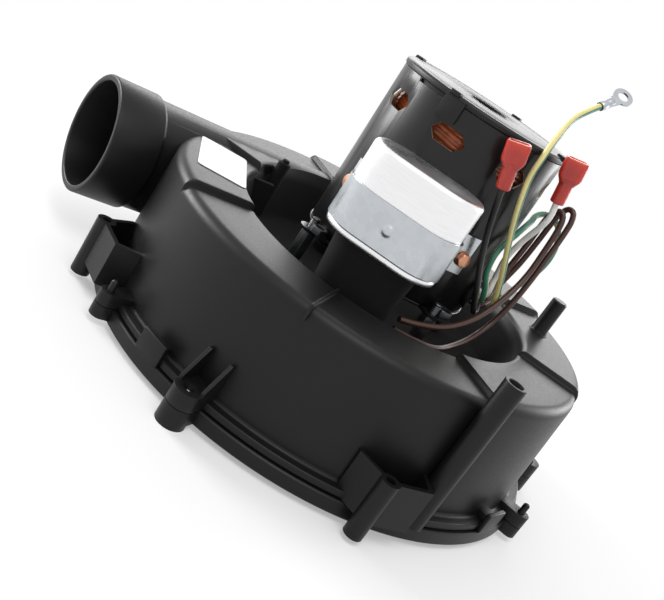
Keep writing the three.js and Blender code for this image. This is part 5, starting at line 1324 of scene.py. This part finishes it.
def strap():
    """Route + normal (shift + dimple); the dimple is h exp(-q^2), q being (distance / radius)^2."""
    path = strap_route()
    along = np.gradient(path, axis=0)
    along /= np.linalg.norm(along, axis=1)[:, None]
    levels = np.linspace(STRAP_LOW, STRAP_HIGH, 46)
    x, y = path[:, :1], path[:, 1:]
    away = (x ** 2 + (levels - DIMPLE_LEVEL) ** 2) / DIMPLE_RADIUS ** 2
    dimple = np.where(y > CAPACITOR_REACH + 12, DIMPLE_HEIGHT * np.exp(-away * away), 0)
    nets = [np.stack([x + along[:, 1:] * (shift + dimple), y - along[:, :1] * (shift + dimple),
                      np.broadcast_to(levels, dimple.shape)], axis=2) for shift in (-STRAP_HALF, STRAP_HALF)]
    band = at_capacitor(sheet_between(*nets), 0)
    return shaped(band, cuts=[turned(lying(STRAP_HOLE, 40, 45, STRAP_LEVEL), a) for a in strap_screws])


piece(loose("galvanised_strap", strap(), 50), strap_metal, replaces=["capacitor_strap"])
washer = lathe([(0, 43.3), (3.5, 43.3), (3.6, 43.5), (3.5, 43.8), (0, 43.8)], 40)
shank = threaded(1.6, 41.2, 44.2, 0.7, 0.15, 20)
strap_screw = laid(merged(hexagon(3.4, 43.5, 45.6), washer, shank), STRAP_LEVEL)
for number, degrees in enumerate(strap_screws, 1):
    piece(loose(f"hex_strap_screw_{number}", turned(strap_screw, degrees)), copper,
          replaces=[f"strap_screw_{number}"])

# %% [markdown]
# ## Label, bushing and terminals
# The label is a blank film on the first step. The terminals are red nylon sleeves, seen from their flat side.
# Their outlines are rounded rectangles that grow along the lead, stacked as on the capacitor.
# A matrix from each route's last two points puts every terminal on the end of its lead.

# %% Blank label
LABEL_LENGTH = 45
LABEL_LEVEL = FRONT + RISE
LABEL_TURN = 158
LABEL_PLACE = 152


def rounded(width, depth, corner, steps=4):
    """A rectangle with quarter circles for corners."""
    quarters = [(1, 1, 0), (-1, 1, 90), (-1, -1, 180), (1, -1, 270)]
    return np.concatenate([arc(corner, start, start + 90, steps,
                               (right * (width / 2 - corner), back * (depth / 2 - corner)))
                           for right, back, start in quarters])


outer = math.sqrt((scroll_at(LABEL_LEVEL) - TOP_FILLET - 0.96) ** 2 - (LABEL_LENGTH / 2) ** 2)
inner = WELL_TOP + RIM_FILLET - 0.3
film = extrude(rounded(outer - inner, LABEL_LENGTH, 2, 5), LABEL_LEVEL + 0.1, LABEL_LEVEL + 0.4)
label = moved(turned(film, LABEL_TURN), Matrix.Translation(tuple(polar((outer + inner) / 2, LABEL_PLACE))))
piece(loose("blank_film_label", label), white_film, replaces=["blank_label"])

# %% Bushing
bushing = lathe([(0, 39.3), (5.6, 39.3), (6, 39.7), (6, 42.2), (7.1, 42.2), (7.4, 42.5), (7.4, 43.3),
                 (7.0, 43.8), (4.6, 43.8), (4.2, 43.4), (3.9, 42.6), (0, 42.4)], 48)
piece(loose("rubber_bushing", turned(laid(bushing, BUSHING_LEVEL), BUSHING)), black_rubber,
      replaces=["lead_bushing"])

# %% Terminals
FLAT_SIDE = 322


def end_matrix(name):
    """The frame at a lead's end: z along the lead, x as near as can be to the flat side's direction."""
    route = [Vector(p) for p in routes[name]]
    along = (route[-1] - route[-2]).normalized()
    wanted = Vector(polar(1, FLAT_SIDE))
    across = (wanted - along * wanted.dot(along)).normalized()
    return Matrix.Translation(route[-1]) @ Matrix((across, along.cross(across), along)).transposed().to_4x4()


def push_on_terminal():
    """A nylon sleeve: round barrel, shoulders, and a flat head open at the top for the blade."""
    barrel = lathe([(1.5, 0.3), (2.9, 0.3), (3.2, 0.7), (3.2, 11.5), (1.5, 11.5)], 40)
    head = [(6.6, 5.4, 2.5, 9.0), (7.6, 5.6, 2.5, 10.0), (9.6, 5.9, 2.4, 11.6), (10.4, 6.0, 2.0, 13.0),
            (10.4, 6.0, 1.6, 19.2), (10.1, 5.7, 1.4, 20.2), (9.4, 5.0, 1.2, 20.6)]
    mouth = [(7.0, 2.6, 0.9, 14.0), (7.4, 2.8, 0.9, 19.6), (8.4, 3.6, 0.9, 21.0)]
    head, mouth = (stacked([(rounded(*size), level) for *size, level in rings]) for rings in (head, mouth))
    tab = shaped(block((-3.15, -0.45, 12.5), (3.15, 0.45, 18.6)), edge=0.15)
    return merged(barrel, shaped(head, cuts=[mouth]), tab)


def eye_terminal():
    """A stamped eye with a tongue and a crimped barrel."""
    tongue = [(-2.1, -9.5), (2.1, -9.5), (2.6, -3.9), (-2.6, -3.9)]
    points, faces = shaped(rod(4.7, -0.45, 0.45, segments=64), adds=[extrude(tongue, -0.45, 0.45)],
                           cuts=[rod(2.6, -1, 1, segments=48)], edge=0.15)
    barrel = lathe([(1.45, 0.3), (2.0, 0.3), (2.1, 0.5), (2.1, 3.0), (1.95, 3.6), (1.95, 4.8), (2.1, 5.4),
                    (2.1, 7.9), (1.9, 8.3), (0, 8.3), (0, 7.9), (1.45, 7.5)], 32)
    return merged(barrel, (points[:, [0, 2, 1]] + (0, 0, 15.5), faces))


push_on = {name: piece(loose(f"push_on_{name}", moved(push_on_terminal(), end_matrix(name))), red_nylon,
                       replaces=[f"red_terminal_{name}_lead"]) for name in ("black", "white")}
ground_eye = piece(loose("ground_eye", moved(eye_terminal(), end_matrix("ground"))), zinc,
                   replaces=["ground_ring_terminal"])

# %% [markdown]

# %% [markdown]
# ## Floor and light
# The photograph is a catalogue picture: a white ground that fades out, and wide soft lights.
# A black object shows only what it mirrors, so the world and the far floor are brighter to the camera and
# to mirrored rays than they are as light. An environment image could do that too, but not so evenly.

# %% Lamps
def lamp(name, where, towards, size, watts):
    """A rectangular lamp that faces a point."""
    data = bpy.data.lights.new(name, "AREA")
    data.shape = "RECTANGLE"
    data.size, data.size_y = size
    data.energy = watts
    obj = bpy.data.objects.new(name, data)
    bpy.context.scene.collection.objects.link(obj)
    obj.location = where
    obj.rotation_euler = (Vector(towards) - Vector(where)).to_track_quat("-Z", "Y").to_euler()
    obj.visible_camera = False


lamp("back_light", where=(0.75, 1.0, 0.5), towards=(0, 0, 0.1), size=(1.3, 0.45), watts=6.5)
lamp("right_light", where=(1.2, 0.1, 0.35), towards=(0, 0, 0.07), size=(0.4, 0.5), watts=4.5)
lamp("left_light", where=(-0.75, 0.95, 0.4), towards=(0, 0, 0.08), size=(0.6, 0.5), watts=15)
lamp("top_light", where=(-0.3, -0.5, 1.2), towards=(0, 0, 0.05), size=(0.7, 0.7), watts=5.5)

# %% Floor
FLOOR_HALF = 3
FADE_START = 0.2
FADE_END = 0.42
corners = [(-FLOOR_HALF, -FLOOR_HALF, 0), (FLOOR_HALF, -FLOOR_HALF, 0), (FLOOR_HALF, FLOOR_HALF, 0),
           (-FLOOR_HALF, FLOOR_HALF, 0)]
floor_mesh = bpy.data.meshes.new("floor")
floor_mesh.from_pydata(corners, [], [(0, 1, 2, 3)])
floor = bpy.data.objects.new("floor", floor_mesh)
bpy.context.scene.collection.objects.link(floor)
p = Paint("pale_floor")
p.set(Base_Color=p.mix(p.noise(3, 2), grey(0.88), grey(0.92)), Roughness=0.9)
away = p.node("VectorMath", {0: p.where}, operation="LENGTH").outputs["Value"]
far = p.span(away, FADE_START, FADE_END, 0.35, 1)
rays = p.node("LightPath").outputs
seen_far = p.math("MULTIPLY", far, p.math("MAXIMUM", rays["Is Camera Ray"], rays["Is Glossy Ray"]))
white = p.node("Emission", {"Color": colour(1, 1, 1), "Strength": 1.0}).outputs[0]
blend = p.node("MixShader", {0: seen_far, 1: p.shader.outputs[0], 2: white}).outputs[0]
p.tree.links.new(blend, p.tree.nodes["Material Output"].inputs["Surface"])
floor_mesh.materials.append(p.material)
floor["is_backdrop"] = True

# %% World
AS_LIGHT = 0.62
AS_SEEN = 1.0
world = bpy.context.scene.world or bpy.data.worlds.new("world")
bpy.context.scene.world = world
world.use_nodes = True
air = world.node_tree
rays = air.nodes.new("ShaderNodeLightPath").outputs
seen = air.nodes.new("ShaderNodeMath")
seen.operation = "MAXIMUM"
air.links.new(rays["Is Camera Ray"], seen.inputs[0])
air.links.new(rays["Is Glossy Ray"], seen.inputs[1])
strength = air.nodes.new("ShaderNodeMapRange")
strength.inputs["To Min"].default_value = AS_LIGHT
strength.inputs["To Max"].default_value = AS_SEEN
air.links.new(seen.outputs[0], strength.inputs["Value"])
air.links.new(strength.outputs["Result"], air.nodes["Background"].inputs["Strength"])
air.nodes["Background"].inputs["Color"].default_value = colour(1, 1, 1)
bpy.context.scene.view_settings.view_transform = "Standard"
print("Lamps:", len(bpy.data.lights), "world:", AS_LIGHT, "as light and", AS_SEEN, "as seen")

# %% Sizes of everything but the floor
low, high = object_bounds()
